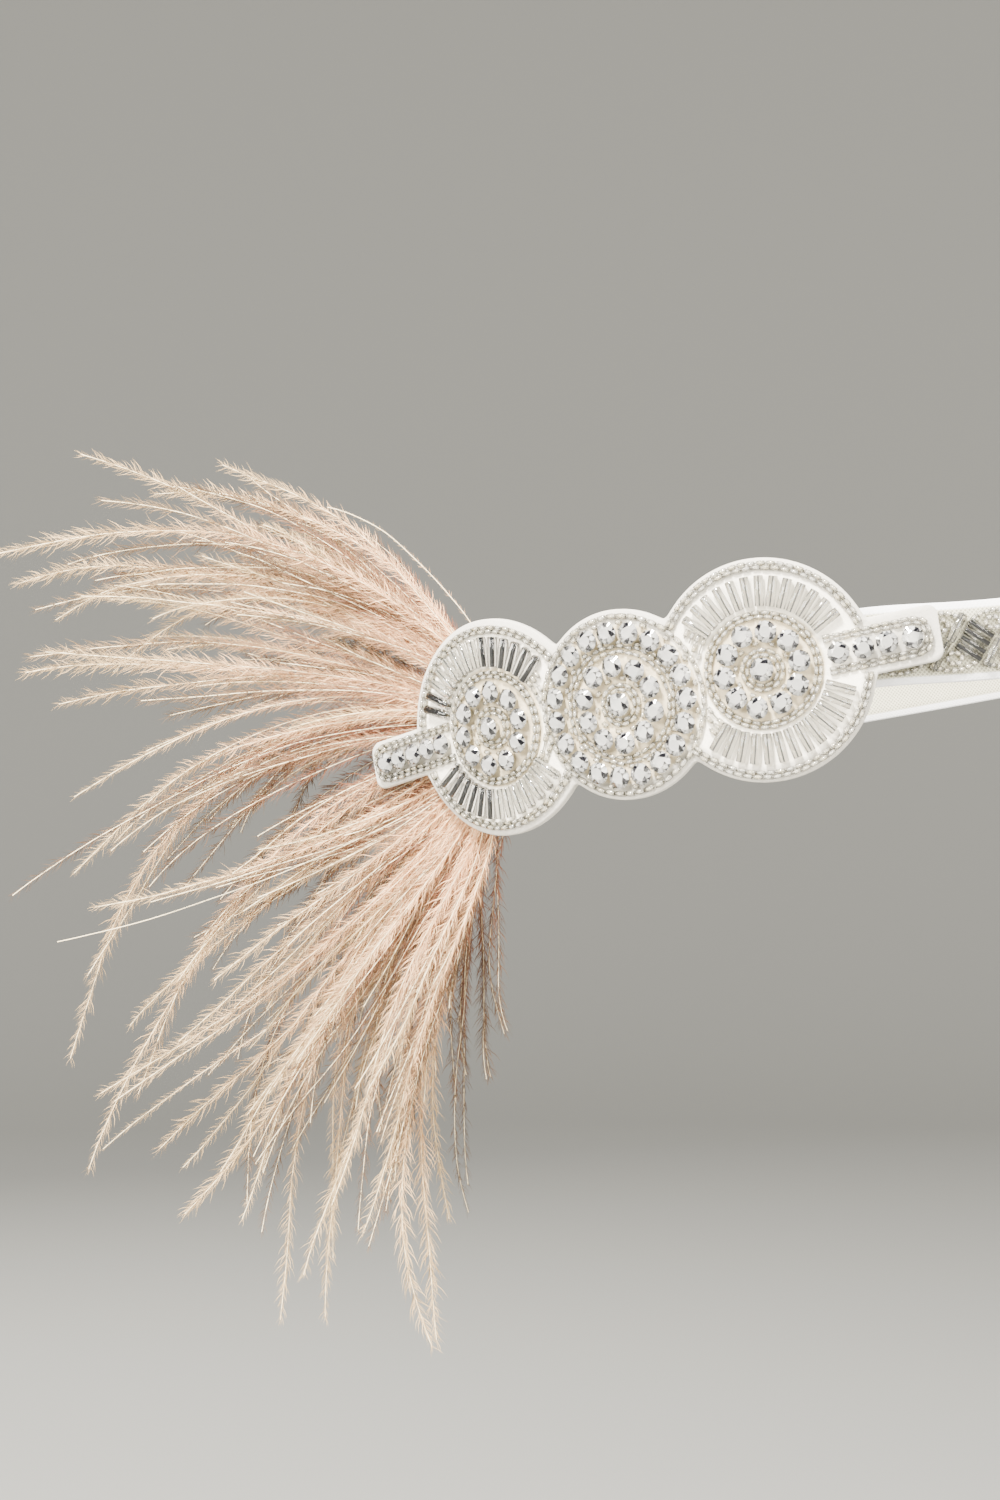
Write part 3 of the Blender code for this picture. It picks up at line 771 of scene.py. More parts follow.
@dataclass(frozen=True)
class NetFinish:
    """Grey-white net on soft ribbon, whose plain white edges show past the beadwork."""

    name: str = "net_on_ribbon"
    ribbon: Colour = (0.84, 0.84, 0.85)
    # Painted shade in the net's holes, partly the colour of what lies under the net.
    hole: Colour = (0.30, 0.285, 0.21)
    thread: Colour = (0.62, 0.59, 0.45)
    edge: float = 6.3 * MM
    edge_fade: float = 0.5 * MM
    pitch: float = 0.62 * MM
    turn: float = math.radians(45.0)
    strand: Span = (0.80, 0.97)
    cloud_scale: float = 90.0
    grain_scale: float = 1300.0
    mottle: float = 0.2
    relief: float = 0.35
    thread_depth: float = 0.12 * MM

    def build(self, effects: SharedEffects) -> Material:
        """Build the material, with the net's diamonds on the strip's flat map.

        Args:
            effects: The shared groups.

        Returns:
            The material.
        """
        surface = Surface(self.name, Roughness=0.75, Sheen_Weight=0.2, Sheen_Roughness=0.4)
        flat = surface.put("ShaderNodeUVMap")
        threads = math.pi * UV_UNIT / self.pitch
        weave = effects.weave.place(surface, Vector=flat, Along=threads, Across=threads, Turn=self.turn)
        height = surface.add("ShaderNodeSeparateXYZ", {0: flat}).outputs[1]
        away = surface.calculate("ABSOLUTE", height)
        bare = surface.ease(away, self.edge / UV_UNIT, (self.edge + self.edge_fade) / UV_UNIT)
        strand = surface.ease(weave.outputs["Thread"], *self.strand)
        # The holes between the lighter threads are darker: painted shade, partly the ground's own colour.
        colour = surface.mix(bare, surface.mix(strand, self.hole, self.thread), self.ribbon)
        surface.cloud(effects, colour, self.cloud_scale, self.grain_scale, self.mottle)
        surface.bump(weave.outputs["Thread"], self.relief, self.thread_depth)
        return surface.material


@dataclass(frozen=True)
class ElasticFinish:
    """Off-white woven elastic: ribs along it, rows of binding thread across."""

    name: str = "woven_elastic"
    thread: Colour = (0.80, 0.79, 0.76)
    shadow: Colour = (0.52, 0.51, 0.48)
    pitch: float = 0.75 * MM
    closeness: float = 1.5
    strand: Span = (0.0, 0.35)
    cloud_scale: float = 110.0
    grain_scale: float = 1600.0
    mottle: float = 0.12
    relief: float = 0.5
    thread_depth: float = 0.15 * MM

    def build(self, effects: SharedEffects) -> Material:
        """Build the material, on the strip's flat map.

        Args:
            effects: The shared groups.

        Returns:
            The material.
        """
        surface = Surface(self.name, Roughness=0.8, Sheen_Weight=0.25, Sheen_Roughness=0.4)
        flat = surface.put("ShaderNodeUVMap")
        threads = math.pi * UV_UNIT / self.pitch
        across = threads * self.closeness
        weave = effects.weave.place(surface, Vector=flat, Along=threads, Across=across, Turn=0.0)
        shade = surface.ease(weave.outputs["Crossing"], *self.strand)
        colour = surface.mix(shade, self.shadow, self.thread)
        surface.cloud(effects, colour, self.cloud_scale, self.grain_scale, self.mottle)
        surface.bump(weave.outputs["Crossing"], self.relief, self.thread_depth)
        return surface.material


@dataclass(frozen=True)
class ThreadFinish:
    """Sewing thread with a slight lustre."""

    name: str
    colour: Colour
    cloud_scale: float = 300.0
    grain_scale: float = 2600.0
    mottle: float = 0.25
    relief: float = 0.3
    ply_depth: float = 0.05 * MM

    def build(self, effects: SharedEffects) -> Material:
        """Build the material."""
        surface = Surface(self.name, Roughness=0.5, Sheen_Weight=0.4, Sheen_Roughness=0.35)
        mottle = surface.cloud(effects, self.colour, self.cloud_scale, self.grain_scale, self.mottle)
        surface.bump(mottle.outputs["Height"], self.relief, self.ply_depth)
        return surface.material


@dataclass(frozen=True)
class FeatherFinish:
    """Dyed ostrich: blush near the pad, greyer and paler towards the tips, with cream shafts."""

    name: str = "dyed_ostrich"
    # The deep and brown ends take the darkest barbs, which lie furthest back: partly their own colour, partly
    # painted shade of the barbs in front.
    deep: Colour = (0.17, 0.058, 0.026)
    blush: Colour = (0.92, 0.53, 0.27)
    brown: Colour = (0.085, 0.042, 0.018)
    pale: Colour = (0.56, 0.385, 0.19)
    shaft: Colour = (0.94, 0.80, 0.52)
    tone_power: float = 2.2
    fade: Span = (0.3, 0.9)
    cloud_scale: float = 140.0
    grain_scale: float = 900.0
    mottle: float = 0.3

    def build(self, effects: SharedEffects) -> Material:
        """Build the material from the share along each barb, its tone, partly its own and partly painted
        shade for how far back it lies, and whether it is shaft.

        Args:
            effects: The shared groups.

        Returns:
            The material.
        """
        sheen = {"Sheen_Weight": 0.08, "Sheen_Roughness": 0.45}
        surface = Surface(self.name, Roughness=0.62, Specular_IOR_Level=0.25, **sheen)
        tone = surface.calculate("POWER", surface.attribute("tone"), self.tone_power)
        root = surface.mix(tone, self.deep, self.blush)
        tip = surface.mix(tone, self.brown, self.pale)
        colour = surface.mix(surface.ease(surface.attribute("share"), *self.fade), root, tip)
        colour = surface.mix(surface.attribute("quill"), colour, self.shaft)
        surface.cloud(effects, colour, self.cloud_scale, self.grain_scale, self.mottle)
        return surface.material


class Finishes:
    """Every material of the headband, built once."""

    def __init__(self) -> None:
        """Build the shared effects, then each finish."""
        effects = SharedEffects()
        self.felt = FeltFinish().build(effects)
        self.net = NetFinish().build(effects)
        self.elastic = ElasticFinish().build(effects)
        self.feather = FeatherFinish().build(effects)
        # The beads' thread is darkened past its own grey so that it shows between the beads as painted shade
        # in the gaps.
        self.bead_thread_and_gap_shade = ThreadFinish("grey_thread", (0.16, 0.15, 0.12)).build(effects)
        self.sewing_thread = ThreadFinish("white_thread", (0.84, 0.83, 0.80)).build(effects)
        # The stone's glass is darkened to black on the facets that are painted black: painted reflection.
        self.stone = GlassFinish(
            name="cut_glass",
            clear=(1.0, 0.99, 0.96),
            tinted=(0.015, 0.015, 0.02),
            roughness=0.0,
            ior=1.62,
            clearness=0.72,
            shaded_by="foil",
        ).build()
        self.bead = GlassFinish(
            name="bead_glass",
            clear=(1.0, 0.98, 0.92),
            tinted=(0.97, 0.92, 0.78),
            roughness=0.03,
            clearness=0.85,
        ).build()
        self.milky_bugle = GlassFinish(
            name="milky_bugle_glass",
            clear=(1.0, 0.99, 0.95),
            tinted=(0.95, 0.93, 0.87),
            roughness=0.02,
            clearness=0.97,
        ).build()
        self.bugle = GlassFinish(
            name="bugle_glass",
            clear=(1.0, 1.0, 1.0),
            tinted=(0.95, 0.95, 0.96),
            roughness=0.02,
        ).build()
        # The foil is painted white or black by facet: painted reflection, its white partly diffuse so that it
        # stays bright from any side.
        self.foil = MetalFinish(
            name="stone_foil",
            bright=(1.0, 0.99, 0.97),
            dark=(0.0, 0.0, 0.0),
            roughness=0.06,
            mottle=0.0,
            shaded_by="foil",
            metallic=0.3,
        ).build(effects)
        # The cups are darker than bright silver so that they read as dark outlines round the stones: partly
        # the metal's own colour, partly painted shade.
        self.cup = MetalFinish(
            name="silver_cup",
            bright=(0.50, 0.49, 0.46),
            dark=(0.26, 0.25, 0.24),
            roughness=0.25,
            mottle=0.25,
        ).build(effects)
        self.bead_lining = MetalFinish(
            name="bead_lining",
            bright=(1.0, 0.98, 0.93),
            dark=(0.84, 0.78, 0.62),
            roughness=0.22,
            mottle=0.2,
            metallic=0.6,
        ).build(effects)
        # Near-black rods in the bugles' bores: partly their own lining and thread, partly painted shade for
        # the dark line that a bore shows through the glass.
        self.bugle_lining = MetalFinish(
            name="bugle_lining",
            bright=(0.04, 0.04, 0.035),
            dark=(0.002, 0.002, 0.003),
            roughness=0.6,
            mottle=0.1,
            metallic=0.0,
        ).build(effects)


# Guides and the trees that dress them


def line_guide(name: str, lines: Sequence[Line]) -> Object:
    """Make a guide of lines, which a tree turns into strings of beads or into barbs.

    Args:
        name: The guide's name.
        lines: The lines.

    Returns:
        An object whose mesh has only edges.
    """
    spots: list[Vector] = []
    edges: list[tuple[int, int]] = []
    for points, closed in lines:
        first = len(spots)
        last = first + len(points) - 1
        spots.extend(points)
        edges.extend((k, k + 1) for k in range(first, last))
        if closed:
            edges.append((last, first))
    mesh = bpy.data.meshes.new(name)
    mesh.from_pydata(spots, edges, [])
    return new_object(name, mesh)


@dataclass(frozen=True)
class Seat:
    """Where a copy of a piece goes.

    Attributes:
        matrix: Its place, with X along it and Z out.
        size: How large it is against the pattern.
        tint: Its share of the second colour.
    """

    matrix: Matrix
    size: float = 1.0
    tint: float = 0.0


def seat_guide(name: str, seats: Sequence[Seat]) -> Object:
    """Make a guide of points, each with its turn, size and tint.

    Args:
        name: The guide's name.
        seats: The seats.

    Returns:
        An object whose mesh has only points.
    """
    mesh = bpy.data.meshes.new(name)
    mesh.from_pydata([seat.matrix.translation for seat in seats], [], [])
    turns = [value for seat in seats for value in seat.matrix.to_euler()]
    mesh.attributes.new("turn", "FLOAT_VECTOR", "POINT").data.foreach_set("vector", turns)
    keep_numbers(mesh, "size", [seat.size for seat in seats])
    keep_numbers(mesh, "tint", [seat.tint for seat in seats])
    return new_object(name, mesh)


class SetOutTree(GeometryTree):
    """Sets copies of a pattern on seats, each turned a little differently."""

    def __init__(self) -> None:
        """Build the tree."""
        super().__init__(
            "set_out",
            Object=("Pattern",),
            Float=("Spin", "Lean"),
            Int=("Seed",),
            Material=("Body", "Lining", "Mount"),
        )
        given = self.given
        base = self.put("FunctionNodeEulerToRotation", {0: self.attribute("turn", "FLOAT_VECTOR")})
        lean = self.random_vector(given["Lean"], given["Seed"])
        spin = self.put("ShaderNodeCombineXYZ", {"Z": self.random(0.0, given["Spin"], given["Seed"])})
        extra = self.put("FunctionNodeEulerToRotation", {0: self.calculate_vector("ADD", lean, spin)})
        turned = self.put("FunctionNodeRotateRotation", {0: base, 1: extra}, rotation_space="LOCAL")
        copies = self.copies(given["Geometry"], self.shape_of("Pattern"), turned, self.attribute("size"))
        self.finish(copies, {"Body": "", "Lining": "lined", "Mount": "mounted"})


class BeadTree(GeometryTree):
    """Strings seed beads on lines: glass rings with a lining in their bore, on a thread."""

    sides = 8
    wall_sides = 6
    thread_sides = 3
    bore = 0.36
    wall = 0.32
    lining_width = 1.15
    lining_length = 1.5
    crookedness = 900.0
    least_size = 0.92
    largest_size = 1.05

    def __init__(self) -> None:
        """Build the tree."""
        super().__init__(
            "bead_string",
            Float=("Spacing", "Width", "Length", "Jitter", "Thread"),
            Int=("Seed",),
            Material=("Glass", "Lining", "Cotton"),
        )
        curve = self.put("GeometryNodeMeshToCurve", {"Mesh": self.given["Geometry"]})
        thread = self.store(self.sweep(curve, self.thread_sides, self.given["Thread"]), "cotton", 1.0)
        marks = {"Glass": "", "Lining": "lined", "Cotton": "cotton"}
        self.finish(self.join(self._string(curve), thread), marks)

    def _bead(self) -> NodeSocket:
        """Make one bead of unit half width and half length, with its axis along Z."""
        glass = self.sweep(self.circle(self.sides, (1.0 + self.bore) / 2), self.wall_sides, self.wall)
        tall = self.put("GeometryNodeTransform", {"Geometry": glass, "Scale": (1.0, 1.0, 1.0 / self.wall)})
        radius = self.bore * self.lining_width
        inputs = {"Vertices": self.sides, "Radius": radius, "Depth": self.lining_length}
        bore = self.put("GeometryNodeMeshCylinder", inputs, fill_type="NONE")
        return self.join(tall, self.store(bore, "lined", 1.0))

    def _string(self, curve: NodeSocket) -> NodeSocket:
        """Set beads along the lines, each a little out of line and of its own size and tint.

        Args:
            curve: The lines.

        Returns:
            The beads, as smooth copies.
        """
        given = self.given
        seed = given["Seed"]
        spots = self.spots_along(curve, given["Spacing"]).outputs
        offset = self.random_vector(given["Jitter"], seed)
        moved = self.put("GeometryNodeSetPosition", {"Geometry": spots["Points"], "Offset": offset})
        crook = self.calculate("MULTIPLY", given["Jitter"], self.crookedness)
        aim = self.calculate_vector("ADD", spots["Tangent"], self.random_vector(crook, seed))
        turned = self.put("FunctionNodeAlignRotationToVector", {"Vector": aim}, axis="Z")
        half_width = self.calculate("MULTIPLY", given["Width"], 0.5)
        half_length = self.calculate("MULTIPLY", given["Length"], 0.5)
        shape = self.put("ShaderNodeCombineXYZ", {0: half_width, 1: half_width, 2: half_length})
        size = self.random(self.least_size, self.largest_size, seed)
        copies = self.copies(moved, self._bead(), turned, self.calculate_vector("SCALE", shape, size))
        tinted = self.store(copies, "tint", self.random(0.0, 1.0, seed), "INSTANCE")
        return self.put("GeometryNodeSetShadeSmooth", {"Geometry": tinted})


class BarbTree(GeometryTree):
    """Grows barbs on lines: a tapering shaft, and down on both its sides."""

    shaft_sides = 3
    taper = 0.8
    least_shaft = 0.6
    pale_shaft = 0.9
    openings = (0.4, 1.45)
    lengths = (0.4, 1.3)
    raggedness = 0.9

    def __init__(self) -> None:
        """Build the tree."""
        super().__init__(
            "barb",
            Object=("Strand",),
            Float=("Spacing", "Down Length", "Opening", "Roll", "Shaft"),
            Vector=("Facing",),
            Int=("Seed",),
            Material=("Feather",),
        )
        curve = self.put("GeometryNodeMeshToCurve", {"Mesh": self.given["Geometry"]})
        self.finish(self.join(self._shaft(curve), self._down(curve)), {"Feather": ""})

    def _shaft(self, curve: NodeSocket) -> NodeSocket:
        """Sweep a small section along each line, thinner towards its tip and bolder on a pale barb."""
        slim = self.calculate("MULTIPLY_ADD", self.attribute("share"), -self.taper, 1.0)
        bold = self.calculate("MULTIPLY_ADD", self.attribute("tone"), self.pale_shaft, self.least_shaft)
        inputs = {"Curve": curve, "Radius": self.calculate("MULTIPLY", slim, bold)}
        tapered = self.put("GeometryNodeSetCurveRadius", inputs)
        return self.store(self.sweep(tapered, self.shaft_sides, self.given["Shaft"], True), "quill", 1.0)

    def _blend(self, operation: str, first: Any, share: Any, second: Any, other_share: Any) -> NodeSocket:
        """Add or subtract two directions, each taken by its own share."""
        scaled = [self.calculate_vector("SCALE", *pair) for pair in ((first, share), (second, other_share))]
        return self.calculate_vector(operation, *scaled)

    def _down(self, curve: NodeSocket) -> NodeSocket:
        """Set two strands of down at each step of each line, opened from it and rolled round it.

        Args:
            curve: The lines.

        Returns:
            The strands, as copies.
        """
        given = self.given
        seed, *seeds = [given["Seed"]] + [self.calculate("ADD", given["Seed"], k) for k in (1, 2, 3)]
        spots = self.spots_along(curve, given["Spacing"]).outputs
        inputs = {"Geometry": spots["Points"], "Amount": 2}
        pairs = self.add("GeometryNodeDuplicateElements", inputs, domain="POINT").outputs
        side = self.calculate("MULTIPLY", pairs["Duplicate Index"], math.pi)
        least = self.calculate("MULTIPLY", given["Roll"], -1.0)
        roll = self.calculate("ADD", side, self.random(least, given["Roll"], seed))
        opening = self.calculate("MULTIPLY", given["Opening"], self.random(*self.openings, seeds[0]))
        tangent = spots["Tangent"]
        across = self.calculate_vector("CROSS_PRODUCT", given["Facing"], tangent)
        across = self.calculate_vector("NORMALIZE", across)
        lifted = self.calculate_vector("CROSS_PRODUCT", tangent, across)
        cosine, sine = (self.calculate(operation, roll) for operation in ("COSINE", "SINE"))
        outward = self._blend("ADD", across, cosine, lifted, sine)
        cosine, sine = (self.calculate(operation, opening) for operation in ("COSINE", "SINE"))
        aim = self._blend("ADD", tangent, cosine, outward, sine)
        inward = self._blend("SUBTRACT", tangent, sine, outward, cosine)
        twisted = self.calculate_vector("ADD", inward, self.random_vector(self.raggedness, seeds[2]))
        inputs = {0: aim, 1: twisted}
        turned = self.put("FunctionNodeAxesToRotation", inputs, primary_axis="X", secondary_axis="Y")
        full = self.calculate("MULTIPLY", given["Down Length"], self.attribute("fluff"))
        grown = self.calculate("MULTIPLY", full, self.random(*self.lengths, seeds[1]))
        return self.copies(pairs["Geometry"], self.shape_of("Strand"), turned, grown)


# Repeated shapes


def ring_of(bm: BMesh, radius: float, height: float, sides: int, turn: float = 0.0) -> list:
    """Add a ring of vertices round Z.

    Args:
        bm: The mesh under construction.
        radius: The ring's radius.
        height: Its height.
        sides: How many vertices it has.
        turn: The share of a side that it is turned by.

    Returns:
        The ring's vertices in order.
    """
    angles = [math.tau * (side + turn) / sides for side in range(sides)]
    return [bm.verts.new((radius * math.cos(angle), radius * math.sin(angle), height)) for angle in angles]


def bridge(bm: BMesh, lower: Sequence, upper: Sequence) -> list:
    """Join two rings of the same count with faces that point away from the axis.

    Args:
        bm: The mesh under construction.
        lower: The lower ring's vertices.
        upper: The upper ring's.

    Returns:
        The faces.
    """
    faces = []
    for side in range(len(lower)):
        after = (side + 1) % len(lower)
        faces.append(bm.faces.new((lower[side], lower[after], upper[after], upper[side])))
    return faces


def turn_shape(bm: BMesh, stops: Sequence[Place], sides: int) -> list:
    """Add a closed shape turned round Z.

    Args:
        bm: The mesh under construction.
        stops: The radius and height of each of its rings, from its foot.
        sides: How many sides it has.

    Returns:
        Its faces without both ends.
    """
    rings = [ring_of(bm, radius, height, sides) for radius, height in stops]
    faces = [face for lower, upper in zip(rings, rings[1:]) for face in bridge(bm, lower, upper)]
    bm.faces.new(rings[0][::-1])
    bm.faces.new(rings[-1])
    return faces


def mark_faces(mesh: Mesh, name: str, marked: range) -> None:
    """Mark faces of a mesh with 1 in a number of theirs, and the others with 0."""
    keep_numbers(mesh, name, [float(face in marked) for face in range(len(mesh.polygons))], "FACE")


@dataclass(frozen=True)
class StonePattern:
    """A brilliant-cut stone in a silver cup with claws, of the size that a ring of stones has."""

    table: Place = (1.12 * MM, 2.38 * MM)
    star: Place = (1.60 * MM, 2.06 * MM)
    girdle: Place = (2.10 * MM, 1.56 * MM)
    break_ring: Place = (0.80 * MM, 0.66 * MM)
    culet_height: float = 0.14 * MM
    cup_foot: float = 1.35 * MM
    cup_rim: Place = (2.16 * MM, 1.52 * MM)
    cup_wall: float = 0.12 * MM
    cup_sides: int = 12
    claws: int = 4
    claw_width: float = 0.42 * MM
    claw_thickness: float = 0.14 * MM
    claw_root: float = 0.25 * MM
    claw_knee: Place = (0.04 * MM, 0.12 * MM)
    claw_reach: float = 0.62 * MM
    claw_rise: float = 0.52 * MM
    claw_taper: tuple[float, ...] = (1.0, 0.9, 0.6)
    claw_slant: float = 0.4
    facet_sides: int = 8
    # Painted reflections: each crown facet and each foiled pavilion facet is painted white at 0 or black at
    # 1, in place of the bright and dark surroundings that real facets reflect.
    crown_painted_reflections: tuple[float, ...] = (0.0, 0.9, 0.0, 0.8, 0.0, 0.0, 1.0, 0.1, 0.0, 1.0, 0.0, 0.2, 1.0)
    foil_painted_reflections: tuple[float, ...] = (0.0, 1.0, 0.0, 0.85, 1.0, 0.0, 1.0, 0.0, 0.05, 0.95, 0.1)

    def build(self) -> Mesh:
        """Build the mesh, whose pavilion is marked as lined and whose cup as mounted."""
        bm = bmesh.new()
        self._crown(bm)
        crown = len(bm.faces)
        self._pavilion(bm)
        bmesh.ops.remove_doubles(bm, verts=bm.verts, dist=0.001 * MM)
        bmesh.ops.recalc_face_normals(bm, faces=bm.faces)
        stone = len(bm.faces)
        self._cup(bm)
        faces = len(bm.faces)
        mesh = mesh_of(bm, "stone")
        mark_faces(mesh, "lined", range(crown, stone))
        mark_faces(mesh, "mounted", range(stone, faces))
        # Each facet's painted reflection, the crown's first and then the pavilion's.
        shades = [*islice(cycle(self.crown_painted_reflections), crown), *islice(cycle(self.foil_painted_reflections), stone - crown)]
        keep_numbers(mesh, "foil", shades + [0.0] * (faces - stone), "FACE")
        return mesh

    def _crown(self, bm: BMesh) -> None:
        """Cut the crown: table, stars, kites and upper girdle facets."""
        count = self.facet_sides
        table = ring_of(bm, *self.table, count, 0.5)
        stars = ring_of(bm, *self.star, count)
        girdle = ring_of(bm, *self.girdle, 2 * count)
        bm.faces.new(table)
        for k in range(count):
            bm.faces.new((table[k - 1], stars[k], table[k]))
            bm.faces.new((table[k], stars[k], girdle[2 * k + 1], stars[(k + 1) % count]))
            bm.faces.new((stars[k], girdle[2 * k - 1], girdle[2 * k]))
            bm.faces.new((stars[k], girdle[2 * k], girdle[2 * k + 1]))

    def _pavilion(self, bm: BMesh) -> None:
        """Cut the foiled pavilion: mains that meet at the culet, and lower girdle facets."""
        count = self.facet_sides
        girdle = ring_of(bm, *self.girdle, 2 * count)
        breaks = ring_of(bm, *self.break_ring, count, 0.5)
        culet = bm.verts.new((0.0, 0.0, self.culet_height))
        for k in range(count):
            bm.faces.new((culet, breaks[k - 1], girdle[2 * k], breaks[k]))
            bm.faces.new((breaks[k], girdle[2 * k], girdle[2 * k + 1]))
            bm.faces.new((breaks[k], girdle[2 * k + 1], girdle[(2 * k + 2) % (2 * count)]))

    def _cup(self, bm: BMesh) -> None:
        """Turn the cup, with its well, and bend its claws over the girdle."""
        rim, height = self.cup_rim
        outside = ((self.cup_foot, 0.0), (rim, height))
        well = ((rim - self.cup_wall, height), (self.cup_foot, height / 2))
        turn_shape(bm, outside + well, self.cup_sides)
        for k in range(self.claws):
            self._claw(bm, math.tau * (k + 0.5) / self.claws)

    def _claw(self, bm: BMesh, heading: float) -> None:
        """Add one claw: a short prong up the cup's outside and in over the crown.

        Args:
            bm: The mesh under construction.
            heading: Where it is round the cup.
        """
        rim, top = self.cup_rim
        path = (
            (rim - self.cup_wall / 2, top - self.claw_root),
            (rim + self.claw_knee[0], top + self.claw_knee[1]),
            (rim - self.claw_reach, top + self.claw_rise),
        )
        turn = Matrix.Rotation(heading, 4, "Z")
        rows = []
        for (radius, height), width in zip(path, self.claw_taper):
            half = width * self.claw_width / 2
            outer = (radius + self.claw_thickness * self.claw_slant, height + self.claw_thickness)
            spots = [(radius, -half, height), (radius, half, height)]
            spots += [(outer[0], half, outer[1]), (outer[0], -half, outer[1])]
            rows.append([bm.verts.new(turn @ Vector(spot)) for spot in spots])
        made = [face for before, after in zip(rows, rows[1:]) for face in bridge(bm, before, after)]
        made += [bm.faces.new(rows[0]), bm.faces.new(rows[-1])]
        bmesh.ops.recalc_face_normals(bm, faces=made)


@dataclass(frozen=True)
class BuglePattern:
    """A bugle: a straight glass tube along X with a dark rod in its bore, partly the bore's own lining and
    thread and partly painted shade for the dark line that a bore shows.
    """

    radius: float = 0.95 * MM
    length: float = 6.1 * MM
    chamfer: float = 0.10 * MM
    lining_radius: float = 0.11 * MM
    lining_inset: float = 0.05 * MM
    sides: int = 12
    lining_sides: int = 8

    def build(self) -> Mesh:
        """Build the mesh, whose bore is marked as lined."""
        bm = bmesh.new()
        half = self.length / 2
        slim = self.radius - self.chamfer
        flank = half - self.chamfer
        stops = ((slim, -half), (self.radius, -flank), (self.radius, flank), (slim, half))
        smooth = turn_shape(bm, stops, self.sides)
        glass = len(bm.faces)
        deep = half - self.lining_inset
        stops = ((self.lining_radius, -deep), (self.lining_radius, deep))
        smooth += turn_shape(bm, stops, self.lining_sides)
        for face in smooth:
            face.smooth = True
        bmesh.ops.transform(bm, matrix=Matrix.Rotation(math.pi / 2, 4, "Y"), verts=bm.verts)
        mesh = mesh_of(bm, "bugle")
        mark_faces(mesh, "lined", range(glass, len(mesh.polygons)))
        return mesh


class Patterns:
    """The small shapes that trees repeat, kept as hidden objects until the end."""

    dark_bore = 0.31 * MM
    strand_curl = 0.30
    strand_half = 0.015
    strand_break = 0.55

    def __init__(self) -> None:
        """Build each pattern."""
        self.stone = self._hide("stone_pattern", StonePattern().build())
        self.clear_bugle = self._hide("clear_bugle_pattern", BuglePattern().build())
        self.dark_bugle = self._hide("dark_bugle_pattern", BuglePattern(lining_radius=self.dark_bore).build())
        self.strand = self._hide("strand_pattern", self._strand())

    def _hide(self, name: str, mesh: Mesh) -> Object:
        """Keep a pattern out of sight."""
        made = new_object(name, mesh)
        made.hide_render = True
        return made

    def _strand(self) -> Mesh:
        """Make one strand of down of unit length along X, curling towards +Y."""
        mesh = bpy.data.meshes.new("strand")
        spots = []
        for reach in (0.0, self.strand_break):
            curl = self.strand_curl * reach**2
            spots += [(reach, curl - self.strand_half, 0.0), (reach, curl + self.strand_half, 0.0)]
        spots.append((1.0, self.strand_curl, 0.0))
        mesh.from_pydata(spots, [], [(0, 2, 3, 1), (2, 4, 3)])
        return mesh

    def remove(self) -> None:
        """Remove the patterns once every copy is made."""
        for made in (self.stone, self.clear_bugle, self.dark_bugle, self.strand):
            bpy.data.batch_remove((made, made.data))


@dataclass(frozen=True)
class BeadSize:
    """Size of the seed beads on a string, and how far they stray from its line."""

    width: float = 0.96 * MM
    length: float = 1.82 * MM
    spacing: float = 1.95 * MM
    jitter: float = 0.05 * MM
    thread: float = 0.16 * MM


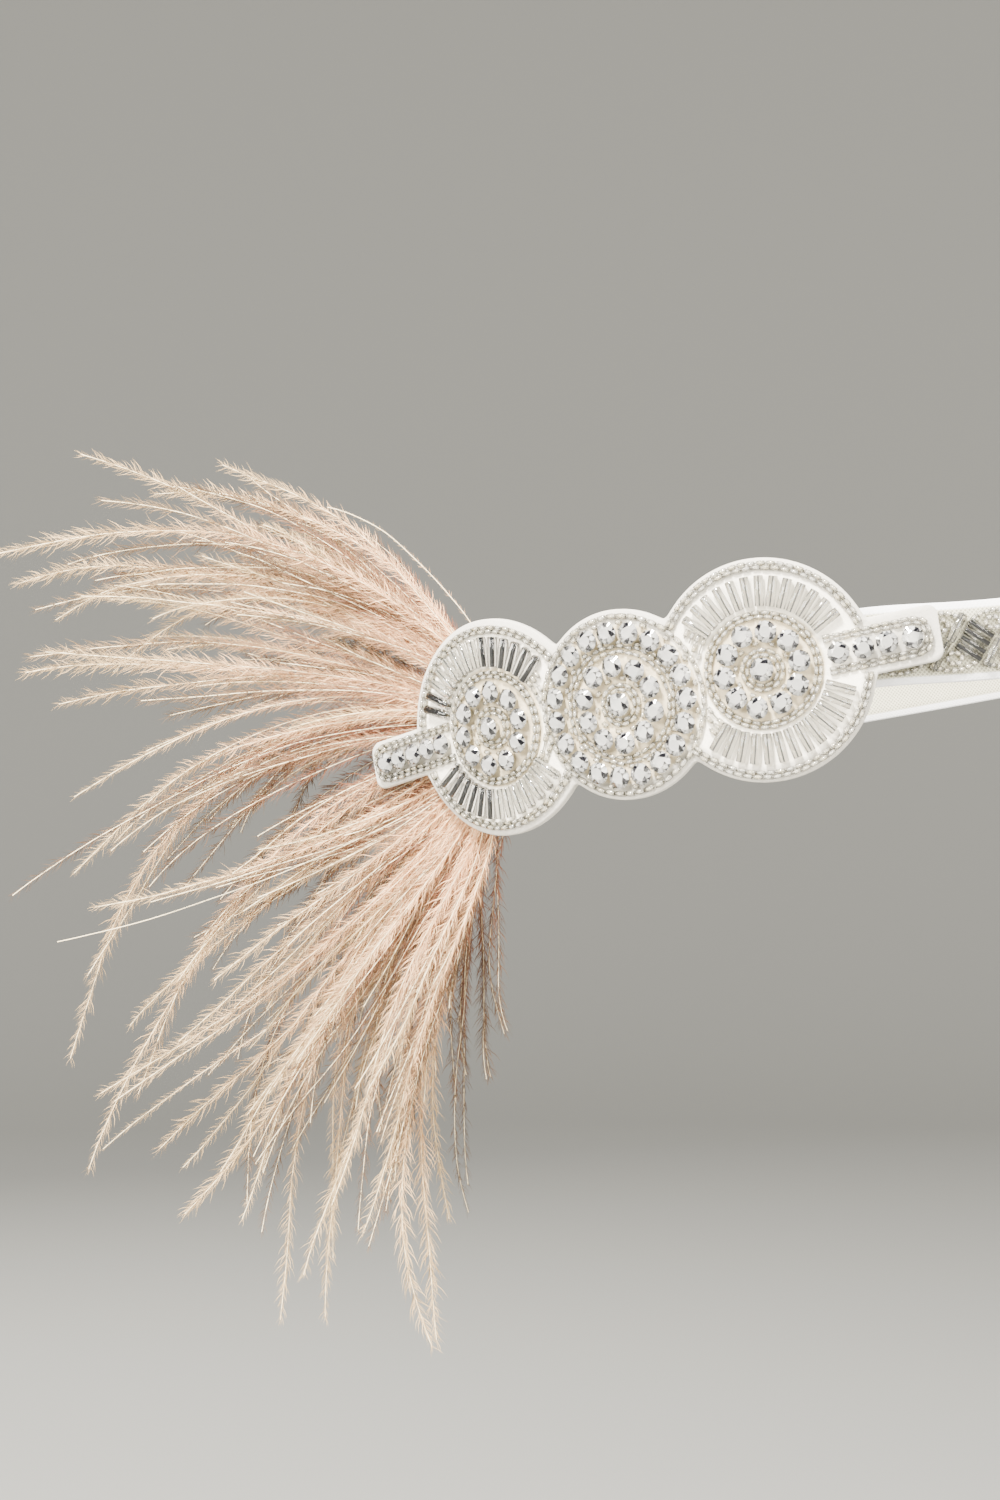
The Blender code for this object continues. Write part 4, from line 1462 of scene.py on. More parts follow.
@dataclass
class Workshop:
    """What every sub-assembly is made with."""

    loop: Loop
    finishes: Finishes
    patterns: Patterns
    set_out: SetOutTree
    beads: BeadTree
    barbs: BarbTree
    stone_lean: float = math.radians(3.5)
    bugle_spin: float = math.radians(1.5)
    bugle_lean: float = math.radians(1.2)

    def string_beads(self, name: str, lines: Sequence[Line], size: BeadSize, seed: int) -> Object:
        """String seed beads on lines.

        Args:
            name: The piece's name.
            lines: The lines.
            size: The beads' size and spacing.
            seed: The seed of their small differences.

        Returns:
            The finished piece.
        """
        values = {
            "Spacing": size.spacing,
            "Width": size.width,
            "Length": size.length,
            "Jitter": size.jitter,
            "Thread": size.thread,
            "Seed": seed,
            "Glass": self.finishes.bead,
            "Lining": self.finishes.bead_lining,
            "Cotton": self.finishes.bead_thread_and_gap_shade,
        }
        return self.beads.make(name, line_guide(name, lines), values)

    def set_stones(self, name: str, seats: Sequence[Seat], seed: int) -> Object:
        """Set stones in cups on seats.

        Args:
            name: The piece's name.
            seats: The seats.
            seed: The seed of their turns.

        Returns:
            The finished piece.
        """
        values = {
            "Pattern": self.patterns.stone,
            "Spin": math.tau,
            "Lean": self.stone_lean,
            "Seed": seed,
            "Body": self.finishes.stone,
            "Lining": self.finishes.foil,
            "Mount": self.finishes.cup,
        }
        return self.set_out.make(name, seat_guide(name, seats), values)

    def lay_bugles(self, name: str, seats: Sequence[Seat], seed: int) -> Object:
        """Lay bugles on seats, those whose tint is above a half with a wide dark bore.

        Args:
            name: The piece's name.
            seats: The seats.
            seed: The seed of their turns.

        Returns:
            The finished piece.
        """
        made = []
        kinds = (
            (self.patterns.clear_bugle, self.finishes.milky_bugle, False),
            (self.patterns.dark_bugle, self.finishes.bugle, True),
        )
        for pattern, glass, dark in kinds:
            chosen = [seat for seat in seats if (seat.tint > 0.5) == dark]
            values = {
                "Pattern": pattern,
                "Spin": self.bugle_spin,
                "Lean": self.bugle_lean,
                "Seed": seed,
                "Body": glass,
                "Lining": self.finishes.bugle_lining,
                "Mount": self.finishes.cup,
            }
            if chosen:
                made.append(self.set_out.make(name, seat_guide(name, chosen), values))
        return join_pieces(name, made)

    def loft(
        self,
        name: str,
        cloth: Material,
        stations: Iterable[float],
        outline: Callable[[float], Sequence[Place]],
        on_band: bool = True,
    ) -> Object:
        """Loft a closed strip of cloth round the loop, with a flat map of it.

        Args:
            name: The strip's name.
            cloth: Its material.
            stations: The lengths along the loop of its sections.
            outline: What gives the height and distance out of each point of a section.
            on_band: Whether the heights are from the band's middle line.

        Returns:
            The strip, closed at both ends.
        """
        bm = bmesh.new()
        layer = bm.loops.layers.uv.new("UVMap")
        flat = {}
        rows = []
        for along in map(float, stations):
            row = []
            for up, out in outline(along):
                row.append(bm.verts.new(self.loop.point((along, up), out, on_band)))
                flat[row[-1]] = (along / UV_UNIT, up / UV_UNIT)
            rows.append(row)
        for before, after in zip(rows, rows[1:]):
            bridge(bm, before, after)
        ends = [bm.faces.new(rows[0]), bm.faces.new(rows[-1])]
        for face in bm.faces:
            face.smooth = face not in ends
            for corner in face.loops:
                corner[layer].uv = flat[corner.vert]
        bmesh.ops.recalc_face_normals(bm, faces=bm.faces)
        strip = new_object(name, mesh_of(bm, name))
        strip.data.materials.append(cloth)
        return strip


def soft_outline(low: float, high: float, inner: float, top: float, soft: float, steps: int) -> list[Place]:
    """Give the section of a strip with softened corners.

    Args:
        low: Height of its lower edge.
        high: Height of its upper edge.
        inner: Distance from the head of its inner face.
        top: Distance from the head of its outer face.
        soft: How far its corners are cut back.
        steps: How many steps each face has.

    Returns:
        The height and distance out of each point.
    """
    ups = [low + soft + (high - low - 2 * soft) * k / steps for k in range(steps + 1)]
    outline = [(low, inner + soft), (low, top - soft)]
    outline += [(up, top) for up in ups]
    outline += [(high, top - soft), (high, inner + soft)]
    return outline + [(up, inner) for up in reversed(ups)]


# Felt


@dataclass
class FeltSheet:
    """The felt that carries the medallions and their tails."""

    shop: Workshop
    inner: float = 3.9 * MM
    thickness: float = 1.8 * MM
    notch: float = 0.9 * MM
    corner: float = 2.0 * MM
    corner_shares: tuple[float, ...] = (0.02, 0.08, 0.2, 0.4)
    tail_beads_end: float = 4.17 * MM
    first_stone: float = 14.5 * MM
    softening: float = 0.35 * MM
    step: float = 0.55 * MM
    least_step: float = 0.04 * MM
    disc_sections: int = 64
    divisions: int = 14
    edge_share: float = 0.9995

    @property
    def top(self) -> float:
        """Give the distance of the felt's face from the head."""
        return self.inner + self.thickness

    def tail_span(self, medallion: Medallion) -> tuple[float, float]:
        """Give the start and end along the loop of the felt under a tail."""
        reach = self.first_stone + (medallion.tail_stones - 1) * medallion.stone_pitch
        reach += self.tail_beads_end + medallion.tail_margin
        end = medallion.along + math.cos(math.radians(medallion.tail)) * reach
        return min(medallion.along, end), max(medallion.along, end)

    def edges(self, along: float) -> tuple[float, float]:
        """Give the edges of the felt, with softened notches.

        Args:
            along: A length along the loop.

        Returns:
            The heights there of the lower and the upper edge.
        """
        spans = []
        for medallion in MEDALLIONS:
            across = (along - medallion.along) / (medallion.felt_radius * medallion.narrowing)
            if abs(across) < 1:
                spans.append((medallion.up, medallion.felt_radius * math.sqrt(1 - across**2)))
        for medallion in (LEFT, RIGHT):
            start, end = self.tail_span(medallion)
            if start <= along <= end:
                share = min(along - start, end - along, self.corner) / self.corner
                half = medallion.tail_half - self.corner * (1 - math.sqrt(1 - (1 - share) ** 2))
                slope = math.tan(math.radians(medallion.tail))
                spans.append((medallion.up + (along - medallion.along) * slope, half))
        notch = self.notch
        high = notch * math.log(sum(math.exp((middle + half) / notch) for middle, half in spans))
        low = -notch * math.log(sum(math.exp((half - middle) / notch) for middle, half in spans))
        return low, high

    def stations(self) -> list[float]:
        """Give the lengths along the loop of the felt's sections, closer where a disc turns quickly."""
        start = self.tail_span(LEFT)[0]
        end = self.tail_span(RIGHT)[1]
        wanted = set(np.arange(start, end, self.step)) | {start, end}
        for share in self.corner_shares:
            wanted |= {start + share * self.corner, end - share * self.corner}
        for medallion in MEDALLIONS:
            half = medallion.felt_radius * medallion.narrowing * self.edge_share
            turns = np.linspace(0.0, math.pi, self.disc_sections)
            wanted |= {medallion.along - half * math.cos(turn) for turn in turns}
        stations: list[float] = []
        for along in sorted(wanted):
            if start <= along <= end and (not stations or along - stations[-1] > self.least_step):
                stations.append(float(along))
        return stations

    def outline(self, along: float) -> list[Place]:
        """Give the height and distance out of each point of the section at a length along the loop."""
        low, high = self.edges(along)
        soft = min(self.softening, (high - low) / 4)
        return soft_outline(low, high, self.inner, self.top, soft, self.divisions)

    def build(self) -> Object:
        """Build the felt."""
        cloth = self.shop.finishes.felt
        felt = self.shop.loft("felt_backing", cloth, self.stations(), self.outline, on_band=False)
        return settle(felt, ["applique_backing"])

    def declare(self, felt: Object, pieces: Sequence[Object]) -> None:
        """Work out the felt's sections and their edges, which nothing uses further.

        Args:
            felt: Not used.
            pieces: Not used.
        """
        stations = self.stations()
        spans = [self.edges(along) for along in stations]


# Medallions


@dataclass
class BeadedMedallion:
    """What all three medallions share: stones on the felt and seed beads in rings."""

    shop: Workshop
    felt: FeltSheet
    medallion: Medallion
    seed: int
    stone_size: float = 1.04
    centre_size: float = 1.12
    stone_lift: float = 0.1 * MM
    bead_lift: float = 0.02 * MM
    double: float = 0.44 * MM
    bead: BeadSize = BeadSize()
    fill_bead: BeadSize = BeadSize(width=1.05 * MM, length=1.35 * MM, spacing=1.0 * MM, jitter=0.06 * MM)
    fill_ring: float = 5.35 * MM
    fill_reach: float = 0.3 * MM
    ring_steps: int = 72
    heart_rings: tuple[float, ...] = (3.98 * MM, 2.98 * MM)

    def stone_seats(self, places: Iterable[Place], size: float) -> list[Seat]:
        """Give the seats of stones on the felt."""
        out = self.felt.top + self.stone_lift
        return [Seat(self.shop.loop.seat(place, out), size) for place in places]

    def line(self, places: Sequence[Place], closed: bool = False) -> Line:
        """Give a line of beads through places on the felt."""
        out = self.felt.top + self.bead.width / 2 + self.bead_lift
        return [self.shop.loop.point(place, out) for place in places], closed

    def ring(self, radius: float) -> Line:
        """Give a closed ring of beads round the medallion."""
        return self.line(self.medallion.ring(radius, self.ring_steps), True)

    def fills(self, radius: float, count: int, first: float) -> list[Line]:
        """Give short lines that each take one bead, between the stones of a ring.

        Args:
            radius: The ring's radius.
            count: How many stones it has.
            first: The heading of its first stone.

        Returns:
            The lines.
        """
        lines = []
        medallion = self.medallion
        for along, up in medallion.ring(radius, count, first + math.pi / count):
            heading = math.atan2(up - medallion.up, along - medallion.along)
            aside = (self.fill_reach * math.sin(heading), self.fill_reach * math.cos(heading))
            lines.append(self.line([(along + end * aside[0], up - end * aside[1]) for end in (-1, 1)]))
        return lines

    def nodes(self, *endings: str) -> list[str]:
        """Give the names of this medallion's solids."""
        return [f"{self.medallion.name}_{ending}" for ending in endings]


@dataclass
class FanMedallion(BeadedMedallion):
    """A medallion with a fan of bugles above and below a tail of stones."""

    inner_beads: float = 10.9 * MM
    stone_ring: float = 7.55 * MM
    stones: int = 10
    bugle_middle: float = 15.6 * MM
    bugle_radius: float = 0.87 * MM
    bugle_length: float = 6.1 * MM
    bugle_lift: float = 0.05 * MM
    bugle_pitch: float = math.radians(9.1)
    fan_gap: float = math.radians(25.5)
    fan_longest: int = 15
    dark_tints: Span = (0.75, 0.98)
    clear_tints: Span = (0.0, 0.12)
    tail_clearance: float = 5.6 * MM
    tail_beads_start: float = 12.9 * MM
    tail_beads_offset: float = 3.25 * MM
    tail_turns: tuple[float, ...] = (60.0, 30.0, 0.0)
    tail_bluntness: float = 0.7
    middle_reach: float = MIDDLE.rim + 0.6 * MM
    gap: float = 0.12 * MM
    gap_row_start: float = 13.1 * MM
    gap_row_pitch: float = 1.3 * MM
    gap_row_count: int = 5
    gap_row_clearance: float = 0.75
    arc_step: float = math.radians(3.0)
    gap_row_step: float = math.radians(2.0)

    def clear_of_middle(self, place: Place, margin: float) -> bool:
        """Say whether a place lies outside the middle medallion's beads by a margin."""
        across = (place[0] - MIDDLE.along) / MIDDLE.narrowing
        return math.hypot(across, place[1] - MIDDLE.up) > self.middle_reach + margin

    def fan_angles(self, side: Side) -> list[float]:
        """Give how far from the tail each bugle on one side lies, while clear of the middle medallion.

        Args:
            side: The side.

        Returns:
            The angles, from the tail on.
        """
        angles = []
        radii = [self.bugle_middle + end * self.bugle_length / 2 for end in (-1, 1)]
        for k in range(self.fan_longest):
            angle = self.fan_gap + k * self.bugle_pitch
            heading = self.medallion.heading(side, angle)
            ends = [self.medallion.polar(radius, heading) for radius in radii]
            if all(self.clear_of_middle(end, self.bugle_radius + self.gap) for end in ends):
                angles.append(angle)
        return angles

    def fan(self, side: Side) -> list[Seat]:
        """Give the bugles' seats on one side of the tail.

        Args:
            side: The side.

        Returns:
            The seats, with the tints of clear and dark bugles.
        """
        seats = []
        medallion = self.medallion
        chance = random.Random(self.seed)
        out = self.felt.top + self.bugle_radius + self.bugle_lift
        for k, angle in enumerate(self.fan_angles(side)):
            heading = medallion.heading(side, angle)
            aim = math.atan2(math.sin(heading), medallion.narrowing * math.cos(heading))
            matrix = self.shop.loop.seat(medallion.polar(self.bugle_middle, heading), out, aim)
            dark = k in medallion.dark_bugles.get(side, ())
            seats.append(Seat(matrix, 1.0, chance.uniform(*(self.dark_tints if dark else self.clear_tints))))
        return seats

    def outer_arc(self, side: Side, radius: float) -> list[Place]:
        """Give places along the outer beads on one side of the tail, up to the middle medallion.

        Args:
            side: The side.
            radius: Their distance from the centre.

        Returns:
            The places, from the tail on.
        """
        medallion = self.medallion
        angle = math.asin(self.tail_clearance / medallion.rim)
        places = []
        while self.clear_of_middle(medallion.polar(medallion.rim, medallion.heading(side, angle)), self.gap):
            places.append(medallion.polar(radius, medallion.heading(side, angle)))
            angle += self.arc_step
        return places

    def gap_rows(self, side: Side) -> list[Line]:
        """Give the short rows of beads between the last bugle of a fan and the middle medallion.

        Args:
            side: The side.

        Returns:
            The rows that are long enough for beads.
        """
        rows = []
        medallion = self.medallion
        margin = self.gap + self.bead.width / 2
        for k in range(self.gap_row_count):
            radius = self.gap_row_start + k * self.gap_row_pitch
            angle = max(self.fan_angles(side)) + self.bugle_pitch * self.gap_row_clearance
            row: list[Place] = []
            place = medallion.polar(radius, medallion.heading(side, angle))
            while angle <= math.pi and self.clear_of_middle(place, margin):
                row.append(place)
                angle += self.gap_row_step
                place = medallion.polar(radius, medallion.heading(side, angle))
            if len(row) > 2:
                rows.append(self.line(row))
        return rows

    def tail_outline(self, aside: float) -> list[Place]:
        """Give places along the beads beside the tail's stones, round its end and back.

        Args:
            aside: How far from the tail's middle line they lie.

        Returns:
            The places.
        """
        straight = self.felt.first_stone + (self.medallion.tail_stones - 1) * self.medallion.stone_pitch
        outline = [(self.tail_beads_start, 1.0), (straight, 1.0)]
        for turn in self.tail_turns:
            ahead = math.cos(math.radians(turn)) ** self.tail_bluntness
            outline.append((straight + aside * ahead, math.sin(math.radians(turn)) ** self.tail_bluntness))
        outline += [(reach, -share) for reach, share in reversed(outline[:-1])]
        return [self.medallion.tail_place(reach, share * aside) for reach, share in outline]

    def build(self) -> list[Object]:
        """Build the medallion's stones, bugles and beads."""
        medallion = self.medallion
        name = medallion.name
        fans = [seat for side in Side for seat in self.fan(side)]
        bugles = self.shop.lay_bugles(f"{name}_bugles", fans, self.seed)
        lines = []
        for shift in (-self.double, self.double):
            lines += [self.line(self.outer_arc(side, medallion.rim + shift)) for side in Side]
            lines.append(self.ring(self.inner_beads + shift))
            lines.append(self.line(self.tail_outline(self.tail_beads_offset + shift)))
        lines += [self.ring(radius) for radius in self.heart_rings]
        lines += [row for side in Side for row in self.gap_rows(side)]
        rows = self.shop.string_beads(f"{name}_rows", lines, self.bead, self.seed)
        first = math.radians(medallion.tail)
        gaps = self.fills(self.fill_ring, self.stones, first)
        fills = self.shop.string_beads(f"{name}_fills", gaps, self.fill_bead, self.seed)
        beads = join_pieces(f"{name}_seed_beads", [rows, fills])
        reaches = [self.felt.first_stone + k * medallion.stone_pitch for k in range(medallion.tail_stones)]
        seats = self.stone_seats(medallion.ring(self.stone_ring, self.stones, first), self.stone_size)
        seats += self.stone_seats([medallion.centre], self.centre_size)
        seats += self.stone_seats([medallion.tail_place(reach) for reach in reaches], self.stone_size)
        stones = self.shop.set_stones(f"{name}_stones", seats, self.seed)
        bead_nodes = self.nodes("upper_beads", "lower_beads", "inner_beads", "heart_beads", "tail_beads")
        return [
            settle(bugles, self.nodes("upper_bugles", "lower_bugles")),
            settle(beads, bead_nodes),
            settle(stones, self.nodes("stone_ring", "centre_stone", "tail_stones")),
        ]


@dataclass
class RingMedallion(BeadedMedallion):
    """The medallion of two rings of stones with seed beads between them."""

    outer_ring: float = 14.5 * MM
    outer_stones: int = 19
    inner_ring: float = 7.75 * MM
    inner_stones: int = 10
    field_rings: tuple[float, ...] = (10.55 * MM, 11.65 * MM)
    gap_rings: tuple[float, ...] = (16.5 * MM, 12.5 * MM)
    chain: BeadSize = BeadSize(width=1.2 * MM, length=2.1 * MM, spacing=2.25 * MM)
    field_bead: BeadSize = BeadSize(length=1.7 * MM, spacing=1.85 * MM, jitter=0.16 * MM)

    def build(self) -> list[Object]:
        """Build the medallion's stones and beads."""
        quarter = math.pi / 2
        medallion = self.medallion
        seats = []
        for radius, count in ((self.outer_ring, self.outer_stones), (self.inner_ring, self.inner_stones)):
            seats += self.stone_seats(medallion.ring(radius, count, quarter), self.stone_size)
        seats += self.stone_seats([medallion.centre], self.centre_size)
        stones = self.shop.set_stones("middle_stones", seats, self.seed)
        hearts = [self.ring(radius) for radius in self.heart_rings]
        fields = [self.ring(radius) for radius in self.field_rings]
        gaps = self.fills(self.fill_ring, self.inner_stones, quarter)
        for radius in self.gap_rings:
            gaps += self.fills(radius, self.outer_stones, quarter)
        strings = (
            ("middle_chain", [self.ring(medallion.rim)], self.chain, self.seed),
            ("middle_heart", hearts, self.bead, self.seed),
            ("middle_rows", fields, self.field_bead, self.seed + 1),
            ("middle_fills", gaps, self.fill_bead, self.seed + 2),
        )
        beads = join_pieces("middle_seed_beads", [self.shop.string_beads(*string) for string in strings])
        return [
            settle(beads, self.nodes("outer_beads", "heart_beads", "field_beads")),
            settle(stones, self.nodes("outer_stones", "inner_stones", "centre_stone")),
        ]


# Band and elastic


@dataclass
class BeadedBand:
    """The net strip round the head, and the diamonds of bugles and sprigs of beads sewn on it."""

    shop: Workshop
    start: float = -72.0 * MM
    end: float = 285.0 * MM
    width: float = 16.0 * MM
    thickness: float = 1.2 * MM
    softening: float = 0.3 * MM
    stations: int = 240
    divisions: int = 6
    first_crossing: float = 22.2 * MM
    last_crossing: float = 272.0 * MM
    pitch: float = 10.6 * MM
    bugle_radius: float = 0.87 * MM
    bugle_lift: float = 0.08 * MM
    arm_heading: float = math.radians(52.5)
    arm_middle: float = 3.45 * MM
    arm_tints: Span = (0.05, 0.3)
    block_heading: float = math.radians(-42.0)
    block_step: Place = (-1.07 * MM, -1.48 * MM)
    block_bugles: int = 4
    block_length_share: float = 0.93
    block_tints: Span = (0.55, 0.85)
    arc_half: float = 4.1 * MM
    arc_height: float = 5.75 * MM
    arc_sag: float = 1.3 * MM
    arc_shift: float = 0.5 * MM
    arc_steps: int = 4
    sprig_height: float = 3.35 * MM
    sprig_shift: float = 0.9 * MM
    sprig_radius: float = 1.15 * MM
    sprig_stretch: float = 1.25
    sprig_steps: int = 12
    bead_lift: float = 0.05 * MM
    bead: BeadSize = BeadSize(width=1.1 * MM, length=1.3 * MM, spacing=1.42 * MM, jitter=0.06 * MM)
    seed: int = 41

    def outline(self, along: float) -> list[Place]:
        """Give the height and distance out of each point of a section, the same at every length along."""
        half = self.width / 2
        return soft_outline(-half, half, 0.0, self.thickness, self.softening, self.divisions)

    def crossings(self) -> list[float]:
        """Give the lengths along the loop at which the slanted lines cross the middle."""
        count = int((self.last_crossing - self.first_crossing) / self.pitch) + 1
        return [self.first_crossing + k * self.pitch for k in range(count)]

    def bugle_seats(self) -> list[Seat]:
        """Give the seats of the slanted lines' bugles and of the blocks of four between them."""
        seats = []
        chance = random.Random(self.seed)
        out = self.thickness + self.bugle_radius + self.bugle_lift
        arm = (self.arm_middle * math.cos(self.arm_heading), self.arm_middle * math.sin(self.arm_heading))
        for crossing in self.crossings():
            for end in (-1, 1):
                place = (crossing + end * arm[0], end * arm[1])
                matrix = self.shop.loop.seat(place, out, self.arm_heading, on_band=True)
                seats.append(Seat(matrix, 1.0, chance.uniform(*self.arm_tints)))
            for k in range(self.block_bugles):
                step = k - (self.block_bugles - 1) / 2
                place = (crossing + self.pitch / 2 + step * self.block_step[0], step * self.block_step[1])
                matrix = self.shop.loop.seat(place, out, self.block_heading, on_band=True)
                seats.append(Seat(matrix, self.block_length_share, chance.uniform(*self.block_tints)))
        return seats

    def sprigs(self) -> list[Line]:
        """Give the lines of the arcs along both edges and of the small rings inside them."""
        lines = []
        out = self.thickness + self.bead.width / 2 + self.bead_lift
        for crossing in self.crossings():
            for end in (-1, 1):
                middle = crossing - end * self.arc_shift
                arc = []
                for k in range(2 * self.arc_steps + 1):
                    share = k / self.arc_steps - 1
                    up = end * (self.arc_height - self.arc_sag * share**2)
                    arc.append((middle + share * self.arc_half, up))
                lines.append(([self.shop.loop.point(spot, out, on_band=True) for spot in arc], False))
                middle = crossing - end * self.sprig_shift
                ring = []
                for k in range(self.sprig_steps):
                    angle = math.tau * k / self.sprig_steps
                    along = middle + self.sprig_stretch * self.sprig_radius * math.cos(angle)
                    ring.append((along, end * self.sprig_height + self.sprig_radius * math.sin(angle)))
                lines.append(([self.shop.loop.point(spot, out, on_band=True) for spot in ring], True))
        return lines

    def build(self) -> list[Object]:
        """Build the strip and its beadwork."""
        lengths = np.linspace(self.start, self.end, self.stations)
        strip = self.shop.loft("net_band", self.shop.finishes.net, lengths, self.outline)
        bugles = self.shop.lay_bugles("band_bugles", self.bugle_seats(), self.seed)
        beads = self.shop.string_beads("band_seed_beads", self.sprigs(), self.bead, self.seed)
        settle(strip, ["band_base"])
        settle(bugles, ["band_beadwork"])
        settle(beads, ["band_beadwork"])
        return [strip, bugles, beads]


@dataclass
class BackElastic:
    """The ribbed elastic across the back of the head, sewn over both ends of the band."""

    shop: Workshop
    band: BeadedBand
    width: float = 10.0 * MM
    thickness: float = 1.0 * MM
    overlap: float = 8.0 * MM
    ramp: float = 1.0 * MM
    gap: float = 0.3 * MM
    ribs: int = 9
    rib_height: float = 0.14 * MM
    rib_steps: int = 4
    stations: int = 150
    relaxed_share: float = 0.9
    stitch_radius: float = 0.14 * MM
    stitch_rows: int = 6
    stitch_half: float = 1.3 * MM
    stitched_width: float = 0.86
    stitched_overlap: float = 0.55
    sunk: float = 0.4

    @property
    def far_end(self) -> float:
        """Give the length along the loop at which the band's other end lies, once round."""
        return self.shop.loop.length + self.band.start

    def inner(self, along: float) -> float:
        """Give the distance from the head of the elastic's inner face, which climbs onto the band's ends."""
        past = min(along - self.band.end, self.far_end - along) - self.ramp
        share = min(max(1 - past / (self.overlap - self.ramp), 0.0), 1.0)
        return (self.band.thickness + self.gap) * share * share * (3 - 2 * share)

    def outline(self, along: float) -> list[Place]:
        """Give the height and distance out of each point of a ribbed section.

        Args:
            along: The section's length along the loop.

        Returns:
            The outer face's points, and the inner face's back again.
        """
        inner = self.inner(along)
        steps = self.ribs * self.rib_steps
        outer = []
        back = []
        for k in range(steps + 1):
            up = self.width * k / steps - self.width / 2
            ridge = self.rib_height * abs(math.sin(math.pi * k / self.rib_steps))
            outer.append((up, inner + self.thickness - self.rib_height + ridge))
            back.append((up, inner + self.rib_height - ridge))
        return outer + back[::-1]

    def stitches(self) -> list[list[Vector]]:
        """Give the zigzags of thread that hold the elastic on the band's ends."""
        lines = []
        inset = self.overlap * self.stitched_overlap
        turns = self.stitch_rows * 2
        for middle in (self.band.end - inset, self.far_end + inset):
            spots = []
            for k in range(turns + 1):
                up = self.width * self.stitched_width * (k / turns - 0.5)
                along = middle + (self.stitch_half if k % 2 else -self.stitch_half)
                out = self.inner(along) + self.thickness + self.stitch_radius * self.sunk
                spots.append(self.shop.loop.point((along, up), out, on_band=True))
            lines.append(spots)
        return lines

    def build(self) -> list[Object]:
        """Build the elastic and its stitches."""
        lengths = np.linspace(self.band.end - self.overlap, self.far_end + self.overlap, self.stations)
        elastic = self.shop.loft("ribbed_elastic", self.shop.finishes.elastic, lengths, self.outline)
        curve = bpy.data.curves.new("elastic_stitches", "CURVE")
        curve.dimensions = "3D"
        curve.bevel_depth = self.stitch_radius
        curve.bevel_resolution = 2
        curve.use_fill_caps = True
        for points in self.stitches():
            spline = curve.splines.new("POLY")
            spline.points.add(len(points) - 1)
            for spot, point in zip(spline.points, points):
                spot.co = (*point, 1.0)
        stitches = keep_plain("elastic_stitches", new_object("elastic_stitches", curve))
        stitches.data.materials.append(self.shop.finishes.sewing_thread)
        settle(elastic, ["back_elastic"])
        settle(stitches)
        return [elastic, stitches]


# Plume


@dataclass(frozen=True)
class Barb:
    """One barb in the plume's own plane.

    Attributes:
        aim: Its heading at the pad, in degrees above straight back.
        bend: How far it turns over its length, in degrees.
        reach: Its length.
        lift: How steeply it leaves the plane, in degrees.
        fluff: How full its down is.
        tone: How pale it is, from the darkest of the plume at 0: partly its own tone, partly painted shade,
            as the darker barbs lie further back.
        depth: How far in front of the plume's middle layer it starts.
    """

    aim: float
    bend: float
    reach: float
    lift: float
    fluff: float = 1.0
    tone: float = 0.9
    depth: float = 0.6 * MM

    def between(self, other: "Barb", share: float) -> list[float]:
        """Give the aim, bend, reach and lift at a share of the way to another barb."""
        ends = zip(astuple(self)[:4], astuple(other)[:4])
        return [here + (there - here) * share for here, there in ends]


LEADING_BARBS = (
    Barb(48, -19, 127 * MM, 6),
    Barb(64, -39, 101 * MM, 2),
    Barb(64, -63, 128 * MM, 0),
    Barb(57, -62, 135 * MM, 14, 1.2),
    Barb(46, -49, 144 * MM, 8, 1.25),
    Barb(29, -13, 115 * MM, 6),
    Barb(28, -28, 128 * MM, 12, 1.2),
    Barb(55, -84, 126 * MM, 4),
    Barb(19, -53, 132 * MM, 8),
    Barb(-20, 18, 116 * MM, 16, 0.1),
    Barb(22, -96, 161 * MM, 8),
    Barb(4, -80, 155 * MM, 10),
    Barb(-38, 21, 150 * MM, 6, 0.6),
    Barb(-11, -24, 132 * MM, 4),
    Barb(-27, -6, 105 * MM, 14),
    Barb(-40, -6, 126 * MM, 12, 1.3),
    Barb(-25, -65, 146 * MM, 6),
    Barb(-39, -39, 124 * MM, 8),
    Barb(-25, -63, 147 * MM, 0),
    Barb(-57, -20, 106 * MM, 14),
    Barb(-51, -54, 131 * MM, 6, 1.2),
    Barb(-45, -70, 131 * MM, 10, 1.3),
    Barb(78, -61, 71 * MM, 0, 0.3),
)


@dataclass(frozen=True)
class FillLayer:
    """A layer of barbs that fill the fan: how many, and the spreads of their lengths and tones."""

    count: int
    lengths: Span
    tones: tuple[float, float]
    behind: float = 0.0


